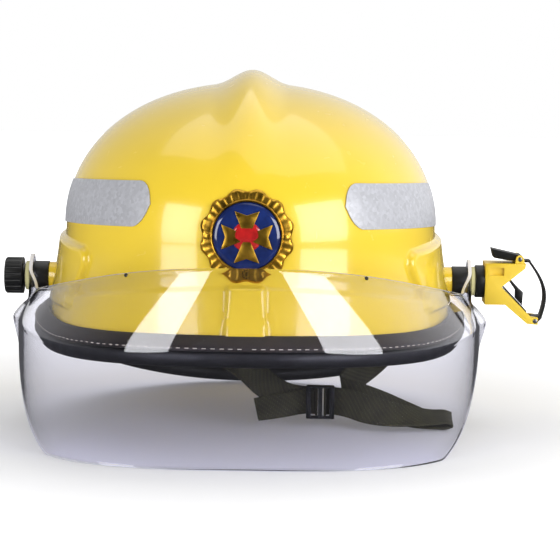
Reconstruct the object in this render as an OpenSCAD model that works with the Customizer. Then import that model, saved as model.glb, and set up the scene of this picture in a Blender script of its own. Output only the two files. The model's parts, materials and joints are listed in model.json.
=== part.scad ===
// Fire helmet with a clear tilting visor and a torch clamp on one pivot.
// X is across the head, the front faces -Y and Z is up, with the floor at Z = 0.
// The helmet stands on the visor's lower edge and on the hem at the nape.

/* [Shell] */
// Half width of the shell at its lower edge
rim_half_w = 128; // [124:0.5:130]
// Length of the lower edge in front of the pivots
rim_front = 149; // [144:0.5:151]
// Length of the lower edge behind the pivots
rim_rear = 148; // [140:0.5:152]
// Half width of the dome where it starts to round over
dome_half_w = 118.5; // [114:0.5:120]
// Length of the dome in front of the pivots
dome_front = 140; // [134:0.5:142]
// Length of the dome behind the pivots
dome_rear = 143; // [136:0.5:145]
// Height at which the dome starts to round over
dome_base_z = 128; // [125:0.5:134]
// How far the wall draws in above the nape
nape_in = 6; // [0:0.5:8]
// Height of the dome above its base
dome_h = 91.5; // [84:0.5:96]
// Thickness of the shell
shell_wall = 3; // [2:0.1:4]
// Height of the crest above the dome
crest_h = 8.2; // [3:0.1:11]
// Half width of the crest
crest_half_w = 24; // [14:0.5:26]
// Height of the shell's lower edge at the front
rim_front_z = 71; // [68:0.5:74]
// Height of the shell's lower edge at the ears
rim_ear_z = 74; // [71:0.5:76]
// Height of the band along the lower edge at the front
band_h = 32; // [26:0.5:34]
// How far the band stands proud
band_out = 1.8; // [1:0.1:2.2]
// How far the panel at each ear stands proud
panel_out = 4; // [2:0.1:4.5]
// How far the rib at the middle of the band stands proud
rib_out = 3.2; // [1:0.1:4]
// Width of that rib at its top
rib_w = 22; // [14:0.5:34]

/* [Skirt] */
// Drop of the leather hem below the shell's edge
hem_drop = 12.6; // [11.4:0.1:12.6]
// Reach of the hem beyond the shell
hem_out = 9.6; // [8:0.1:10]
// Thickness of the skirt leather
skirt_t = 1.6; // [1:0.1:2]

/* [Liner and cradle] */
// Thickness of the impact liner
liner_t = 14; // [8:0.5:16]
// Half width of the headband
band_half_w = 83; // [76:0.5:86]
// Length of the headband in front of the pivots
head_front = 101; // [92:0.5:104]
// Distance of the headband's flat back from the pivots
head_back = 88; // [84:0.5:90]
// Thickness of the headband
headband_t = 1.8; // [1.4:0.1:2.4]
// Height of the headband
headband_h = 28; // [24:0.5:32]
// Height of the headband's lower edge
headband_z = 80; // [78:0.5:84]
// Thickness of the leather sweatband
sweat_t = 2.4; // [1.5:0.1:3]
// Width of the crown webbing
webbing_w = 20; // [16:0.5:24]
// Thickness of the crown webbing
webbing_t = 1.3; // [1:0.1:1.4]
// Pitch radius of the ratchet pinion
pinion_r = 5; // [5:0.1:6]
// Travel of each rack
rack_travel = 14; // [8:0.5:16]
// Radius of the ratchet knob
ratchet_knob_r = 15; // [12:0.5:18]
// Length of the ratchet knob
ratchet_knob_h = 11; // [8:0.5:12]

/* [Visor] */
// Room between the hem and the visor at the sides
visor_side = 8.6; // [7.5:0.1:12]
// Room between the hem and the visor at the front
visor_ahead = 16.6; // [15:0.1:20]
// Thickness of the visor
visor_t = 2.4; // [2:0.1:2.6]
// Height of the visor's top edge at the middle
visor_top_z = 118; // [112:0.5:122]
// Height of the pivots
pivot_z = 93; // [92:0.5:94]
// Radius of the visor's ears
ear_r = 15; // [13:0.5:16]
// Radius of the stop buttons on the visor's top edge
stop_r = 1.2; // [1:0.1:2]

/* [Pivots] */
// Length of the pivot bosses outside the shell
boss_l = 7.55; // [6.5:0.05:8.5]
// Radius of the pivot bosses
boss_r = 9; // [8:0.1:10]
// Length of the black spacers
spacer_l = 10; // [9.5:0.1:10.5]
// Radius of the pivot studs
stud_r = 3; // [2.5:0.1:3.5]
// Radius of the knurled knob
knob_r = 11.75; // [10:0.25:13]
// Length of the knurled knob
knob_l = 11.5; // [10:0.5:14]
// Number of grooves round the knurled knob
knob_grooves = 18; // [12:1:24]
// Thickness of the pale washers
washer_t = 2.6; // [2:0.1:3]
// Radius of the pale washers
washer_r = 9.4; // [9:0.1:10.2]

/* [Torch clamp] */
// Width of the clamp along the torch
clamp_w = 22; // [18:0.5:26]
// Length of the clamp's block beside the collar
block_l = 12.5; // [11.5:0.5:14]
// Reach of the clamp's jaws beyond the vertex
jaw_reach = 17; // [16:0.5:18.5]
// Thickness of the jaws
jaw_t = 4.6; // [4:0.1:5]
// Thickness of the closing strap
strap_t = 1.5; // [1.2:0.1:1.6]

/* [Chin strap] */
// Width of the chin webbing
chin_w = 18; // [16:0.5:20]
// Thickness of the chin webbing
chin_t = 1.6; // [1.2:0.1:1.8]

/* [Badge and patches] */
// Radius of the front badge
badge_r = 28; // [22:0.5:30]
// Height of the badge's middle
badge_z = 133; // [130:0.5:136]
// Height of the reflective patches
patch_h = 27; // [20:0.5:30]
// Distance of the patches' near ends from the pivots
patch_near = 20; // [16:0.5:30]
// Length of the reflective patches
patch_l = 101; // [80:0.5:106]
// How much higher the patches' far ends lie than their near ends
patch_rise = 5.6; // [0:0.1:8]

/* [Hidden] */

around = 96;
fit = 0.1;
gap = 0.3;
dome_power = 2.15;
plan_power = 2;

yellow = "#F4C81C";
black = "#1C1D1F";
leather = "#2A211B";
silver = "#C5C9D6";
gilt = "#C9A24A";
clear = "#D9DDEE";
olive = "#4A4A28";
grey = "#4B4D52";
pale = "#E6E08A";
steel = "#B9BCC2";

// Height of the shell's lower edge at the nape, which sets the hem on the floor
rim_rear_z = hem_drop;
// The visor goes round the hem
visor_half_w = rim_half_w + band_out + hem_out + visor_side;
visor_front = rim_front + band_out + hem_out + visor_ahead;
// The cutting shapes reach past every piece
past = 200;
// The skirt covers the shell's edge up to this height above it
skirt_rise = 5.4;

// Radius of an oval outline at angle t from the front
function oval(t, half_w, front, rear, power) =
    pow(pow(abs(sin(t)) / half_w, power) + pow(abs(cos(t)) / (cos(t) > 0 ? front : rear), power), -1 / power);

// A point at angle t from the front
function at(t, r, z) = [r * sin(t), -r * cos(t), z];

// Angles round the helmet, closer together at the front and rear
function turn(i, n) = 360 * i / n - 12 * sin(720 * i / n);

function rim_r(t) = oval(t, rim_half_w, rim_front, rim_rear, plan_power);
function dome_r(t) = oval(t, dome_half_w, dome_front, dome_rear, plan_power + 0.1);

// Height of the shell's lower edge: a low front, raised at the ears and deep at the nape
rim_dip_z = min(rim_front_z, rim_ear_z) - 5;
function rim_z(t) =
    cos(t) >= 0
    ? rim_dip_z + (rim_front_z - rim_dip_z) * pow(cos(t), 4)
        + (rim_ear_z - rim_dip_z) * pow(abs(sin(t)), 12)
    : rim_ear_z - (rim_ear_z - rim_rear_z) * pow(-cos(t) * rim_r(t) / rim_rear, 1.1);

// The crest is a rounded ridge of even width that sinks towards the front and the rear
function crest(x, y) =
    let (s = min(1, abs(y) / (y < 0 ? dome_front : dome_rear)),
         u = min(1, abs(x) / crest_half_w))
    crest_h * (1 - pow(s, 4)) * (1 + cos(180 * u)) / 2;

dome_rows = 13;
wall_rows = 5;

// A ring of the dome: k runs from 1 near the top to dome_rows at its base
function dome_ring(k, off, n, shift) =
    let (a = 90 * (1 - k / dome_rows), c = pow(cos(a), 2 / dome_power), s = pow(sin(a), 2 / dome_power))
    [for (i = [0:n - 1])
        let (t = turn(i + shift, n), p = at(t, (dome_r(t) + off) * c, 0))
        [p[0], p[1], dome_base_z + (dome_h + off) * s + crest(p[0], p[1])]];

// A ring of the wall at height z(t), leaning out towards the lower edge
function wall_r(t, z) =
    let (u = max(0, (dome_base_z - z) / (dome_base_z - rim_z(t))))
    dome_r(t) + (rim_r(t) - dome_r(t)) * pow(u, 1.6) - nape_in * sin(180 * u) * pow(max(0, -cos(t)), 2);
function wall_ring(f, off, lift, n, shift) =
    [for (i = [0:n - 1])
        let (t = turn(i + shift, n), z = (1 - f) * dome_base_z + f * (rim_z(t) + lift))
        at(t, wall_r(t, z) + off, z)];

// Faces between rings, closed by a point at the top and one at the bottom
module closed_rings(rings, top, bottom) {
    n = len(rings[0]);
    m = len(rings);
    points = concat([top], [for (ring = rings) each ring], [bottom]);
    faces = concat(
        [for (i = [0:n - 1]) [0, 1 + (i + 1) % n, 1 + i]],
        [for (k = [0:m - 2], i = [0:n - 1])
            let (a = 1 + k * n + i, b = 1 + k * n + (i + 1) % n) each [[a, b, b + n], [a, b + n, a + n]]],
        [for (i = [0:n - 1]) [m * n + 1, 1 + (m - 1) * n + i, 1 + (m - 1) * n + (i + 1) % n]]);
    polyhedron(points, faces);
}

// The helmet's outer form moved out by off, down to lift above its lower edge.
// A shift of half a step keeps an inner form's corners off the outer form's.
module form(off, lift = 0, n = around, shift = 0) {
    rings = concat([for (k = [1:dome_rows]) dome_ring(k, off, n, shift)],
        [for (k = [1:wall_rows]) wall_ring(k / wall_rows, off, lift, n, shift)]);
    top = [0, 0, dome_base_z + dome_h + off + crest(0, 0)];
    closed_rings(rings, top, [0, 0, (rim_rear_z + rim_front_z) / 2 + lift - 6]);
}

// The form with the band that stands proud along its lower edge
module banded_form() {
    n = around;
    edge = 1.2;
    function band_z(t) = band_h * (0.78 + 0.22 * cos(2 * t));
    function upper(f) = [for (i = [0:n - 1])
        let (t = turn(i, n), low = rim_z(t) + band_z(t) + edge, z = (1 - f) * dome_base_z + f * low)
        at(t, wall_r(t, z), z)];
    function lower(f) = [for (i = [0:n - 1])
        let (t = turn(i, n), high = rim_z(t) + band_z(t) - edge, z = (1 - f) * high + f * rim_z(t))
        at(t, wall_r(t, z) + band_out, z)];
    rings = concat([for (k = [1:dome_rows]) dome_ring(k, 0, n, 0)], [for (k = [1:4]) upper(k / 4)],
        [for (k = [0:3]) lower(k / 3)]);
    top = [0, 0, dome_base_z + dome_h + crest(0, 0)];
    closed_rings(rings, top, [0, 0, (rim_rear_z + rim_front_z) / 2 - 6]);
}

// A closed tube round the helmet: section(t) lists its points as [r, z], inside edge first
module round_tube(sections, angles) {
    n = len(sections);
    m = len(sections[0]);
    points = [for (i = [0:n - 1], p = sections[i]) at(angles[i], p[0], p[1])];
    faces = [for (i = [0:n - 1], j = [0:m - 1])
        let (a = i * m + j, b = i * m + (j + 1) % m,
             d = ((i + 1) % n) * m + j, c = ((i + 1) % n) * m + (j + 1) % m)
        each [[a, c, b], [a, d, c]]];
    polyhedron(points, faces);
}

// A flat strap along points, each with the direction of its width
module ribbon(path, across, width, thick) {
    n = len(path);
    function along(k) = let (v = path[min(k + 1, n - 1)] - path[max(k - 1, 0)]) v / norm(v);
    function side(k) =
        let (v = across[k] - (across[k] * along(k)) * along(k)) v / norm(v) * width / 2;
    function thin(k) = let (v = cross(along(k), side(k))) v / norm(v) * thick / 2;
    points = [for (k = [0:n - 1]) each [path[k] + side(k) + thin(k), path[k] - side(k) + thin(k),
        path[k] - side(k) - thin(k), path[k] + side(k) - thin(k)]];
    faces = concat([[0, 1, 2], [0, 2, 3]],
        [for (k = [0:n - 2], j = [0:3])
            let (a = 4 * k + j, b = 4 * k + (j + 1) % 4) each [[a, a + 4, b + 4], [a, b + 4, b]]],
        [[4 * n - 1, 4 * n - 2, 4 * n - 3], [4 * n - 1, 4 * n - 3, 4 * n - 4]]);
    polyhedron(points, faces);
}

// A rectangle with rounded corners, centred
module rounded(w, h, r) {
    hull() for (x = [-1, 1], y = [-1, 1]) translate([x * (w / 2 - r), y * (h / 2 - r)]) circle(r, $fn = 24);
}

// A cylinder along X from x0 to x1 at the pivots
module on_pivot(x0, x1, r) {
    translate([min(x0, x1), 0, pivot_z]) rotate([0, 90, 0]) cylinder(h = abs(x1 - x0), r = r, $fn = 48);
}

// The outline of an ear panel, seen from the side
panel_top_z = pivot_z + 31;
panel_low_z = rim_ear_z + skirt_rise + 2 * gap;
panel_front_y = -86;
panel_rear_y = 34;
module panel_outline() {
    r = 8;
    hull() {
        for (p = [[panel_rear_y - r, panel_top_z - r], [panel_front_y + r, panel_top_z - r - 4],
            [panel_rear_y - r, panel_low_z + r], [panel_front_y + r + 10, panel_low_z + r]])
            translate(p) circle(r, $fn = 32);
    }
}

// Things drawn seen from the side, pushed through the helmet along X
module through_x(x0, x1) {
    rotate([90, 0, 90]) translate([0, 0, x0]) linear_extrude(x1 - x0) children();
}

// The same on one side only, from x outwards
module through_side(s, x) {
    through_x(s > 0 ? x : -past, s > 0 ? past : -x) children();
}

// Things drawn seen from the front, pushed from the front back to y1
module through_front(y1) {
    translate([0, y1, 0]) rotate([90, 0, 0]) linear_extrude(visor_front) children();
}

rib_top_z = rim_front_z + band_h + 1;
rib_low_z = rim_front_z + skirt_rise + 2 * gap;
module rib_outline() {
    polygon([[-rib_w / 2, rib_top_z], [rib_w / 2, rib_top_z], [rib_w / 2 + 1.5, rib_low_z],
        [-rib_w / 2 - 1.5, rib_low_z]]);
}

// Distance of the wall's outer face from the middle plane at y behind the pivots and height z
function wall_x(y, z) =
    let (r0 = wall_r(90 + asin(y / dome_half_w), z), r = wall_r(90 + asin(y / r0), z)) sqrt(r * r - y * y);

// Flat seats where the pivot bosses meet the ear panels
seat_x = wall_x(0, pivot_z) - 0.3;
boss_x = seat_x + boss_l;

// The panels, rib and hollow follow the curved form, so the whole shell is one mesh
module outer_shell() {
    color(yellow) resize([0, 0, 0]) difference() {
        union() {
            banded_form();
            intersection() {
                form(panel_out);
                for (s = [-1, 1]) through_side(s, 60) panel_outline();
            }
            intersection() {
                form(band_out + rib_out);
                through_front(-60) rib_outline();
            }
        }
        form(-shell_wall, -12, around, 0.5);
        for (s = [-1, 1]) {
            on_pivot(s * (seat_x - 16), s * (seat_x + 20), stud_r + gap);
            on_pivot(s * seat_x, s * (seat_x + 20), boss_r + 1.5);
            for (y = chin_rivet_y) chin_bore(s, y, -1, rivet_depth, chin_rivet_r + 0.05);
        }
    }
}

// The nuts sit against the shell's inside
nut_r = 5.8;
nut_h = 4;
nut_seat_x = min(wall_x(0, pivot_z + nut_r), wall_x(0, pivot_z - nut_r)) - shell_wall - 0.1;

// The boss carries the spacer and has a hole for the stud
module pivot_boss(s) {
    difference() {
        union() {
            on_pivot(s * seat_x, s * boss_x, boss_r);
            on_pivot(s * seat_x, s * (seat_x + 2), boss_r + 1.2);
        }
        on_pivot(s * (seat_x - 1), s * (boss_x + 1), stud_r);
    }
}
module knob_side_boss() { color(yellow) pivot_boss(-1); }
module clamp_side_boss() { color(yellow) pivot_boss(1); }

liner_gap = 0.4;
liner_low_z = 118;
module impact_liner() {
    color(grey) resize([0, 0, 0]) difference() {
        form(-shell_wall - liner_gap, 0, 48);
        form(-shell_wall - liner_gap - liner_t, -12, 48, 0.5);
        translate([-past, -past, -1]) cube([2 * past, 2 * past, liner_low_z + 1]);
    }
}

// The leather skirt is sewn to the shell's edge and slopes out to the hem
function skirt_section(t) =
    let (r = rim_r(t) + band_out, z = rim_z(t), low = z - hem_drop)
    [[r + gap, z + 1], [r + gap, z + skirt_rise - 0.4], [r + gap + skirt_t * 0.7, z + skirt_rise],
     [r + hem_out * 0.62, z + 1.6], [r + hem_out - 0.6, low + 11.2], [r + hem_out - 0.3, low + 9.6],
     [r + hem_out - 3.4, low + 9.6], [r + hem_out * 0.5, z - 1.6], [r + 1.4, z - 0.4]];
skirt_n = 72;
module rim_skirt() {
    angles = [for (i = [0:skirt_n - 1]) turn(i, skirt_n)];
    color(leather) round_tube([for (t = angles) skirt_section(t)], angles);
}

// The rolled hem hangs under the skirt and rests on the floor at the nape
hem_sides = 8;
module hem_piping() {
    angles = [for (i = [0:skirt_n - 1]) turn(i, skirt_n)];
    hem_h = 9.4;
    hem_w = 5.6;
    color(black) round_tube([for (t = angles)
        let (r = rim_r(t) + band_out + hem_out - hem_w / 2, z = rim_z(t) - hem_drop + hem_h / 2)
        [for (j = [0:hem_sides - 1])
            let (a = 22.5 - 360 * j / hem_sides)
            [r + hem_w / 2 * cos(a) / cos(22.5), z + hem_h / 2 * sin(a) / sin(67.5)]]], angles);
}

// Reflective patches follow the shell, gap off its face
module on_shell(thick, lift = 0.3) {
    resize([0, 0, 0]) intersection() {
        difference() {
            form(lift + thick);
            form(lift, -6, around, 0.5);
        }
        children();
    }
}
patch_z = dome_base_z + 16.2;
// The corners are arcs of an ellipse, which look round on the slanting dome
patch_end = 6.5;
patch_r = patch_h / 2 - 0.5;
// The far ends lean with the dome
patch_lean = 6;
// The outline in front of the pivots (f = -1) or behind them (f = 1)
module patch_outline(f) {
    hull() for (k = [0, 1], v = [-1, 1])
        translate([f * (patch_near + patch_end + k * (patch_l - 2 * patch_end - patch_lean * (v + 1) / 2)),
            patch_z + patch_rise * k + v * (patch_h / 2 - patch_r)])
            scale([patch_end / patch_r, 1]) circle(patch_r, $fn = 48);
}
module patch_pair(f) {
    color(silver) on_shell(0.7) for (s = [-1, 1]) through_side(s, 40) patch_outline(f);
}
module front_patches() { patch_pair(-1); }
module rear_patches() { patch_pair(1); }

// A plain scalloped badge: a gilt plate, an enamelled field and a raised eight-pointed cross
plate_t = 1.6;
field_t = 0.9;
layer = 0.1;
field_lift = gap + plate_t + layer;
module badge_outline(r, lobes, depth) {
    polygon([for (i = [0:71]) let (a = 5 * i, q = r - depth * (0.5 + 0.5 * cos(lobes * a)))
        [q * sin(a), badge_z + q * cos(a)]]);
}
module badge_plate() {
    color(gilt) on_shell(plate_t) through_front(-60) badge_outline(badge_r, 12, 2);
}
module badge_field() {
    color("#27407F") on_shell(field_t, field_lift) through_front(-60)
        translate([0, badge_z]) circle(badge_r - 8, $fn = 48);
}
module badge_cross() {
    arm = badge_r - 10.5;
    color(gilt) on_shell(1, field_lift + field_t + layer) through_front(-60) translate([0, badge_z])
        for (a = [0:90:270]) rotate(a) polygon([[2, 2], [arm * 0.42, arm * 0.86], [0, arm * 0.72],
            [-arm * 0.42, arm * 0.86], [-2, 2], [0, 0]]);
}
// Two studs hold the badge from behind
module badge_studs() {
    color(steel) on_shell(0.9, field_lift) through_front(-60)
        for (s = [-1, 1]) translate([s * (badge_r - 5), badge_z]) circle(1.6, $fn = 16);
}

// The headband is an oval with a flat back, open where the racks pass
function band_oval(off) = [for (i = [0:95])
    let (t = 360 * i / 96, p = at(t, oval(t, band_half_w, head_front, head_front, 2.2) + off, 0))
    [p[0], min(p[1], head_back + off)]];
band_gap = 20;
module headband() {
    color(grey) difference() {
        translate([0, 0, headband_z]) linear_extrude(headband_h)
            difference() { polygon(band_oval(0)); polygon(band_oval(-headband_t)); }
        translate([-band_gap, head_back - 10, headband_z - 1]) cube([2 * band_gap, 20, headband_h + 2]);
    }
}
// Leather inside the front and sides of the headband
sweat_end_y = 30;
module sweatband() {
    color(leather) translate([0, 0, headband_z - 3]) linear_extrude(headband_h + 4) difference() {
        polygon(band_oval(-headband_t - gap));
        polygon(band_oval(-headband_t - gap - sweat_t));
        translate([-past, sweat_end_y]) square([2 * past, past]);
    }
}

// Three straps cross over the head, each a little above the last, and end in the hangers
crown_top_z = 184;
hang_z = headband_z + headband_h + 4;
strap_turns = [30, 90, 150];
strap_off = 2.6;
function strap_end_r(t) = oval(t, band_half_w, head_front, head_front, 2.2) + strap_off;
module crown_straps() {
    steps = 18;
    color(black) for (k = [0:2]) {
        t = strap_turns[k];
        lift = k * (webbing_t + 2 * gap);
        path = [for (i = [0:steps])
            let (a = -90 + 180 * i / steps, r = strap_end_r(t))
            at(t, r * sin(a), hang_z + (crown_top_z + lift - hang_z) * pow(abs(cos(a)), 0.9))];
        ribbon(path, [for (i = [0:steps]) [cos(t), sin(t), 0]], webbing_w, webbing_t);
    }
}
// A round pad under the crossing of the crown straps follows their curve
pad_r = 34;
pad_t = 5;
pad_steps = 8;
function pad_top(r) =
    hang_z + (crown_top_z - hang_z) * pow(1 - pow(r / strap_end_r(90), 2), 0.45) - webbing_t / 2 - gap;
module crown_pad() {
    radii = [for (i = [0:pad_steps]) pad_r * i / pad_steps];
    color(black) rotate_extrude($fn = 48)
        polygon(concat([for (r = radii) [r, pad_top(r)]],
            [for (i = [pad_steps:-1:0]) [radii[i], pad_top(radii[i]) - pad_t]]));
}
// Six hangers hold the straps and the headband off the shell
hanger_turns = [30, 90, 150, 210, 270, 330];
function shell_in(t, z) = wall_r(t, z) - shell_wall;
module strap_hangers() {
    color(black) for (t = hanger_turns)
        rotate(t) translate([0, -strap_end_r(t) - 0.8 - gap, hang_z - 12]) hanger(t);
}
module hanger(t) {
    wall = min([for (d = [-4, 0, 4], z = [hang_z - 9, hang_z - 3]) shell_in(t + d, z)]);
    reach = wall - strap_end_r(t) - 0.8 - 2 * gap;
    translate([-12, -2.4, 0]) cube([24, 2.4, 16]);
    translate([-6, -reach, 3]) cube([12, reach - 2.4, 6]);
}
// A rivet holds each hanger to the headband
module hanger_rivets() {
    color(steel) for (t = hanger_turns) rotate(t)
        translate([0, -strap_end_r(t) - 0.8 - gap, hang_z - 8]) rotate([-90, 0, 0])
            cylinder(h = strap_off + 0.8, r = 2.2, $fn = 24);
}

// The ratchet: a housing over the band's ends, racks above and below the pinion
rack_w = 7;
rack_thick = 2;
ratchet_z = headband_z + headband_h / 2;
rack_y = head_back - headband_t - gap - rack_thick;
rack_c = pinion_r + 1 + rack_w / 2;
housing_w = 46;
housing_h = 2 * (rack_c + rack_w / 2) + 7;
housing_y0 = rack_y - 2.2;
cover_t = 2;
housing_y1 = head_back + gap + cover_t;
tooth_pitch = pinion_r * 2 * 3.14159265 / 12;
module tooth() { polygon([[-0.95, -1.3], [-0.3, 0.8], [0.3, 0.8], [0.95, -1.3]]); }
shaft_r = 2;
hub_r = 3.5;
// A cylinder behind the head, along the ratchet's axis from y0 to y1
module behind(y0, y1, r) {
    translate([0, y0, ratchet_z]) rotate([-90, 0, 0]) cylinder(h = y1 - y0, r = r, $fn = 48);
}
module ratchet_housing() {
    color(black) difference() {
        translate([-housing_w / 2, housing_y0, ratchet_z - housing_h / 2])
            cube([housing_w, housing_y1 - housing_y0 - cover_t, housing_h]);
        translate([-housing_w, rack_y - gap, ratchet_z - rack_c - rack_w / 2 - gap])
            cube([2 * housing_w, rack_thick + 2 * gap, 2 * rack_c + rack_w + 2 * gap]);
        for (x = [-housing_w, band_gap - gap])
            translate([x, head_back - headband_t - gap, headband_z - gap])
                cube([housing_w - band_gap + gap, headband_t + 4, headband_h + 2 * gap]);
        behind(housing_y0 - 1, housing_y1, shaft_r + fit);
        behind(rack_y - gap, housing_y1, pinion_r + 2.4);
    }
}
module ratchet_cover() {
    color(black) difference() {
        translate([-housing_w / 2, housing_y1 - cover_t, ratchet_z - housing_h / 2])
            cube([housing_w, cover_t, housing_h]);
        behind(housing_y1 - 2 * cover_t, housing_y1 + 2, hub_r + fit);
    }
}
hub_end = housing_y1 + fit + 4;
module ratchet_pinion() {
    color(steel) union() {
        behind(rack_y, rack_y + rack_thick, pinion_r - 0.9);
        translate([0, rack_y, ratchet_z]) rotate([-90, 0, 0]) linear_extrude(rack_thick)
            for (i = [0:11]) rotate(30 * i) translate([0, pinion_r]) tooth();
        behind(housing_y0, rack_y + 0.5, shaft_r);
        behind(rack_y + rack_thick, hub_end, hub_r);
    }
}
module ratchet_knob() {
    y0 = housing_y1 + fit;
    y1 = y0 + ratchet_knob_h;
    color(black) difference() {
        union() {
            behind(y0, y1 - 2, ratchet_knob_r);
            translate([0, y1 - 2, ratchet_z]) rotate([-90, 0, 0])
                cylinder(h = 2, r1 = ratchet_knob_r, r2 = ratchet_knob_r - 2, $fn = 48);
        }
        for (i = [0:11]) translate([0, y0 - 1, ratchet_z]) rotate([-90, 30 * i, 0])
            translate([ratchet_knob_r + 1.2, 0, 0]) cylinder(h = ratchet_knob_h + 2, r = 2.4, $fn = 24);
        behind(y0 - 1, hub_end, hub_r);
        behind(y1 - 4, y1 + 1, ratchet_knob_r - 5);
    }
}
// A toothed rack above (s = 1) or below (s = -1) the pinion, drawn out to its own side
rack_end = 42;
rack_tip = 8;
rack_teeth = ceil((rack_travel + 4) / tooth_pitch);
rack_edge = rack_c - rack_w / 2;
rack_outline = concat([[-rack_end, rack_edge]],
    [for (i = [-rack_teeth:1]) let (x = tooth_pitch * (i + 0.5))
        each [[x - 0.8, rack_edge], [x - 0.3, rack_edge - 1.6],
              [x + 0.3, rack_edge - 1.6], [x + 0.8, rack_edge]]],
    [[rack_tip, rack_edge], [rack_tip, rack_edge + rack_w], [-rack_end, rack_edge + rack_w]]);
module rack(s) {
    translate([0, rack_y, ratchet_z]) rotate([-90, 0, 0]) linear_extrude(rack_thick)
        polygon([for (p = rack_outline) [s * p[0], -s * p[1]]]);
}
module rack_upper() { color(grey) rack(1); }
module rack_lower() { color(grey) rack(-1); }

buckle_x = 37;
buckle_y = -30.6;
buckle_z = 7;
buckle_w = 18;
buckle_h = 21;
buckle_t = 6.4;
slot_z = buckle_z + buckle_h / 2;
slot_w = 4.6;
buckle_bar = 3;
slot_x = buckle_x + buckle_bar + slot_w / 2;
slot_far_x = buckle_x + buckle_w - buckle_bar - slot_w / 2;
// The webbings pass behind the buckle's bars into its slots
back_y = buckle_y + buckle_t / 2 + 2 * gap + chin_t / 2;
anchor_t = 1.6;
anchor_w = 22;

// The chin strap: two webbings from the shell's sides to a buckle near the floor.
// Each point is followed by the direction of the webbing's width.
strap_y = 23;
function strap_x(z) = wall_x(strap_y, z) - shell_wall - gap - anchor_t - 2 * gap - fit - chin_t / 2;
function strap_top(s) = [for (z = [97, 90, 81]) [s * strap_x(z), strap_y, z]];
strap_lean = 0.18;
left_run = concat(strap_top(-1), [[-101, 15, 66], [-72, -1, 60], [-42, -12, 54], [-18, -17, 47],
    [-2, -20, 38], [10, -22.5, 27.5], [22, -24.2, 20.5], [32, back_y + 1.9, slot_z + 0.5],
    [slot_x - 1.2, back_y + 2.2, slot_z],
    [slot_x + 1.2, buckle_y + 5.2, slot_z], [slot_x + 1.2, buckle_y, slot_z]]);
left_across = concat([for (i = [0:2]) [strap_lean, 1, 0]], [[0, 1, 0.5], [0.2, 0.8, 0.9], [0.3, 0.5, 1],
    [0.3, 0.4, 1], [0.3, 0.3, 1], [0.3, 0.1, 1]], [for (i = [0:4]) [0, 0, 1]]);
right_run = concat(strap_top(1), [[101, 22, 63], [91, 15, 47], [76, 3, 35], [64, -9, 27], [60.5, -15.5, 23.5],
    [64, -20.5, 21.6], [72, -22, 19.5], [87, -24, 14.8], [104, -24.5, 8.8], [120, -24.4, 4.9],
    [127.5, -25, 4], [131.5, -26, 6], [127.5, -27.4, 8.2], [118, -30, 8.6], [105, -34.5, 9.8],
    [90, -37, 11.6], [76, -34.5, 13.8], [64, -28.6, slot_z - 1],
    [buckle_x + buckle_w, back_y, slot_z], [slot_far_x + 1.2, back_y, slot_z],
    [slot_far_x - 0.6, buckle_y + 2.6, slot_z], [slot_far_x - 0.6, buckle_y, slot_z]]);
right_across = concat([for (i = [0:2]) [-strap_lean, 1, 0]], [[0, 1, 0.4], [0.2, 0.8, 0.7], [0.2, 0.5, 0.9],
    [0.1, 0.25, 1], [0, 0.15, 1], [0, 0.15, 1], [0, 0.2, 1], [0, 0.4, 0.9], [0, 0.65, 0.76],
    [0, 0.9, 0.4], [0, 0.95, 0.3], [0, 0.95, 0.3], [0, 0.95, 0.3], [0, 0.93, 0.36], [0, 0.85, 0.55],
    [0, 0.6, 0.8], [0, 0.3, 0.95], [0, 0.15, 1]], [for (i = [0:3]) [0, 0, 1]]);
module chin_strap_left() { color(olive) ribbon(left_run, left_across, chin_w, chin_t); }
module chin_strap_right() { color(olive) ribbon(right_run, right_across, chin_w, chin_t); }

// Leaves against the shell's inside carry the strap's ends, each on two rivets set into the shell
anchor_low_z = 88;
anchor_h = 22;
rivet_z = 104;
rivet_depth = 1.8;
chin_rivet_r = 1.6;
chin_rivet_y = [strap_y - 6, strap_y + 6];
// A cylinder along X at a chin rivet, from x0 to x1 outwards of the shell's inner face
module chin_bore(s, y, x0, x1, r) {
    x = wall_x(y, rivet_z) - shell_wall;
    translate([s > 0 ? x + x0 : -x - x1, y, rivet_z]) rotate([0, 90, 0])
        cylinder(h = x1 - x0, r = r, $fn = 24);
}
module chin_anchors() {
    color(steel) difference() {
        on_shell(anchor_t, -shell_wall - gap - anchor_t) for (s = [-1, 1])
            through_side(s, 60)
                translate([strap_y - anchor_w / 2, anchor_low_z]) square([anchor_w, anchor_h]);
        for (s = [-1, 1], y = chin_rivet_y) chin_bore(s, y, -6, 1, chin_rivet_r + 0.05);
    }
}
module chin_rivets() {
    color(steel) for (s = [-1, 1], y = chin_rivet_y) union() {
        chin_bore(s, y, -3.6, rivet_depth, chin_rivet_r);
        chin_bore(s, y, -4.2, -3, chin_rivet_r + 1.2);
    }
}
module chin_buckle() {
    color(black) translate([buckle_x, buckle_y - buckle_t / 2, buckle_z]) difference() {
        cube([buckle_w, buckle_t, buckle_h]);
        for (x = [buckle_bar, buckle_w - buckle_bar - slot_w]) translate([x, -1, 1.2])
            cube([slot_w, buckle_t + 2, buckle_h - 2.4]);
    }
}
// The left webbing's free end comes back out of the buckle, in front of the webbing
module chin_tail() {
    path = [[slot_x - 1, buckle_y, slot_z], [slot_x - 1, buckle_y + 3.2, slot_z],
        [slot_x - 1.6, back_y, slot_z], [buckle_x - 1, back_y, slot_z - 0.6], [30, back_y - 0.3, 16],
        [18, -28, 14], [5, -29.5, 11.8]];
    across = concat([for (i = [0:4]) [0, 0, 1]], [[0, 0.3, 1], [0, 0.55, 0.8]]);
    color(olive) ribbon(path, across, chin_w - 2, chin_t);
}

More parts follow.
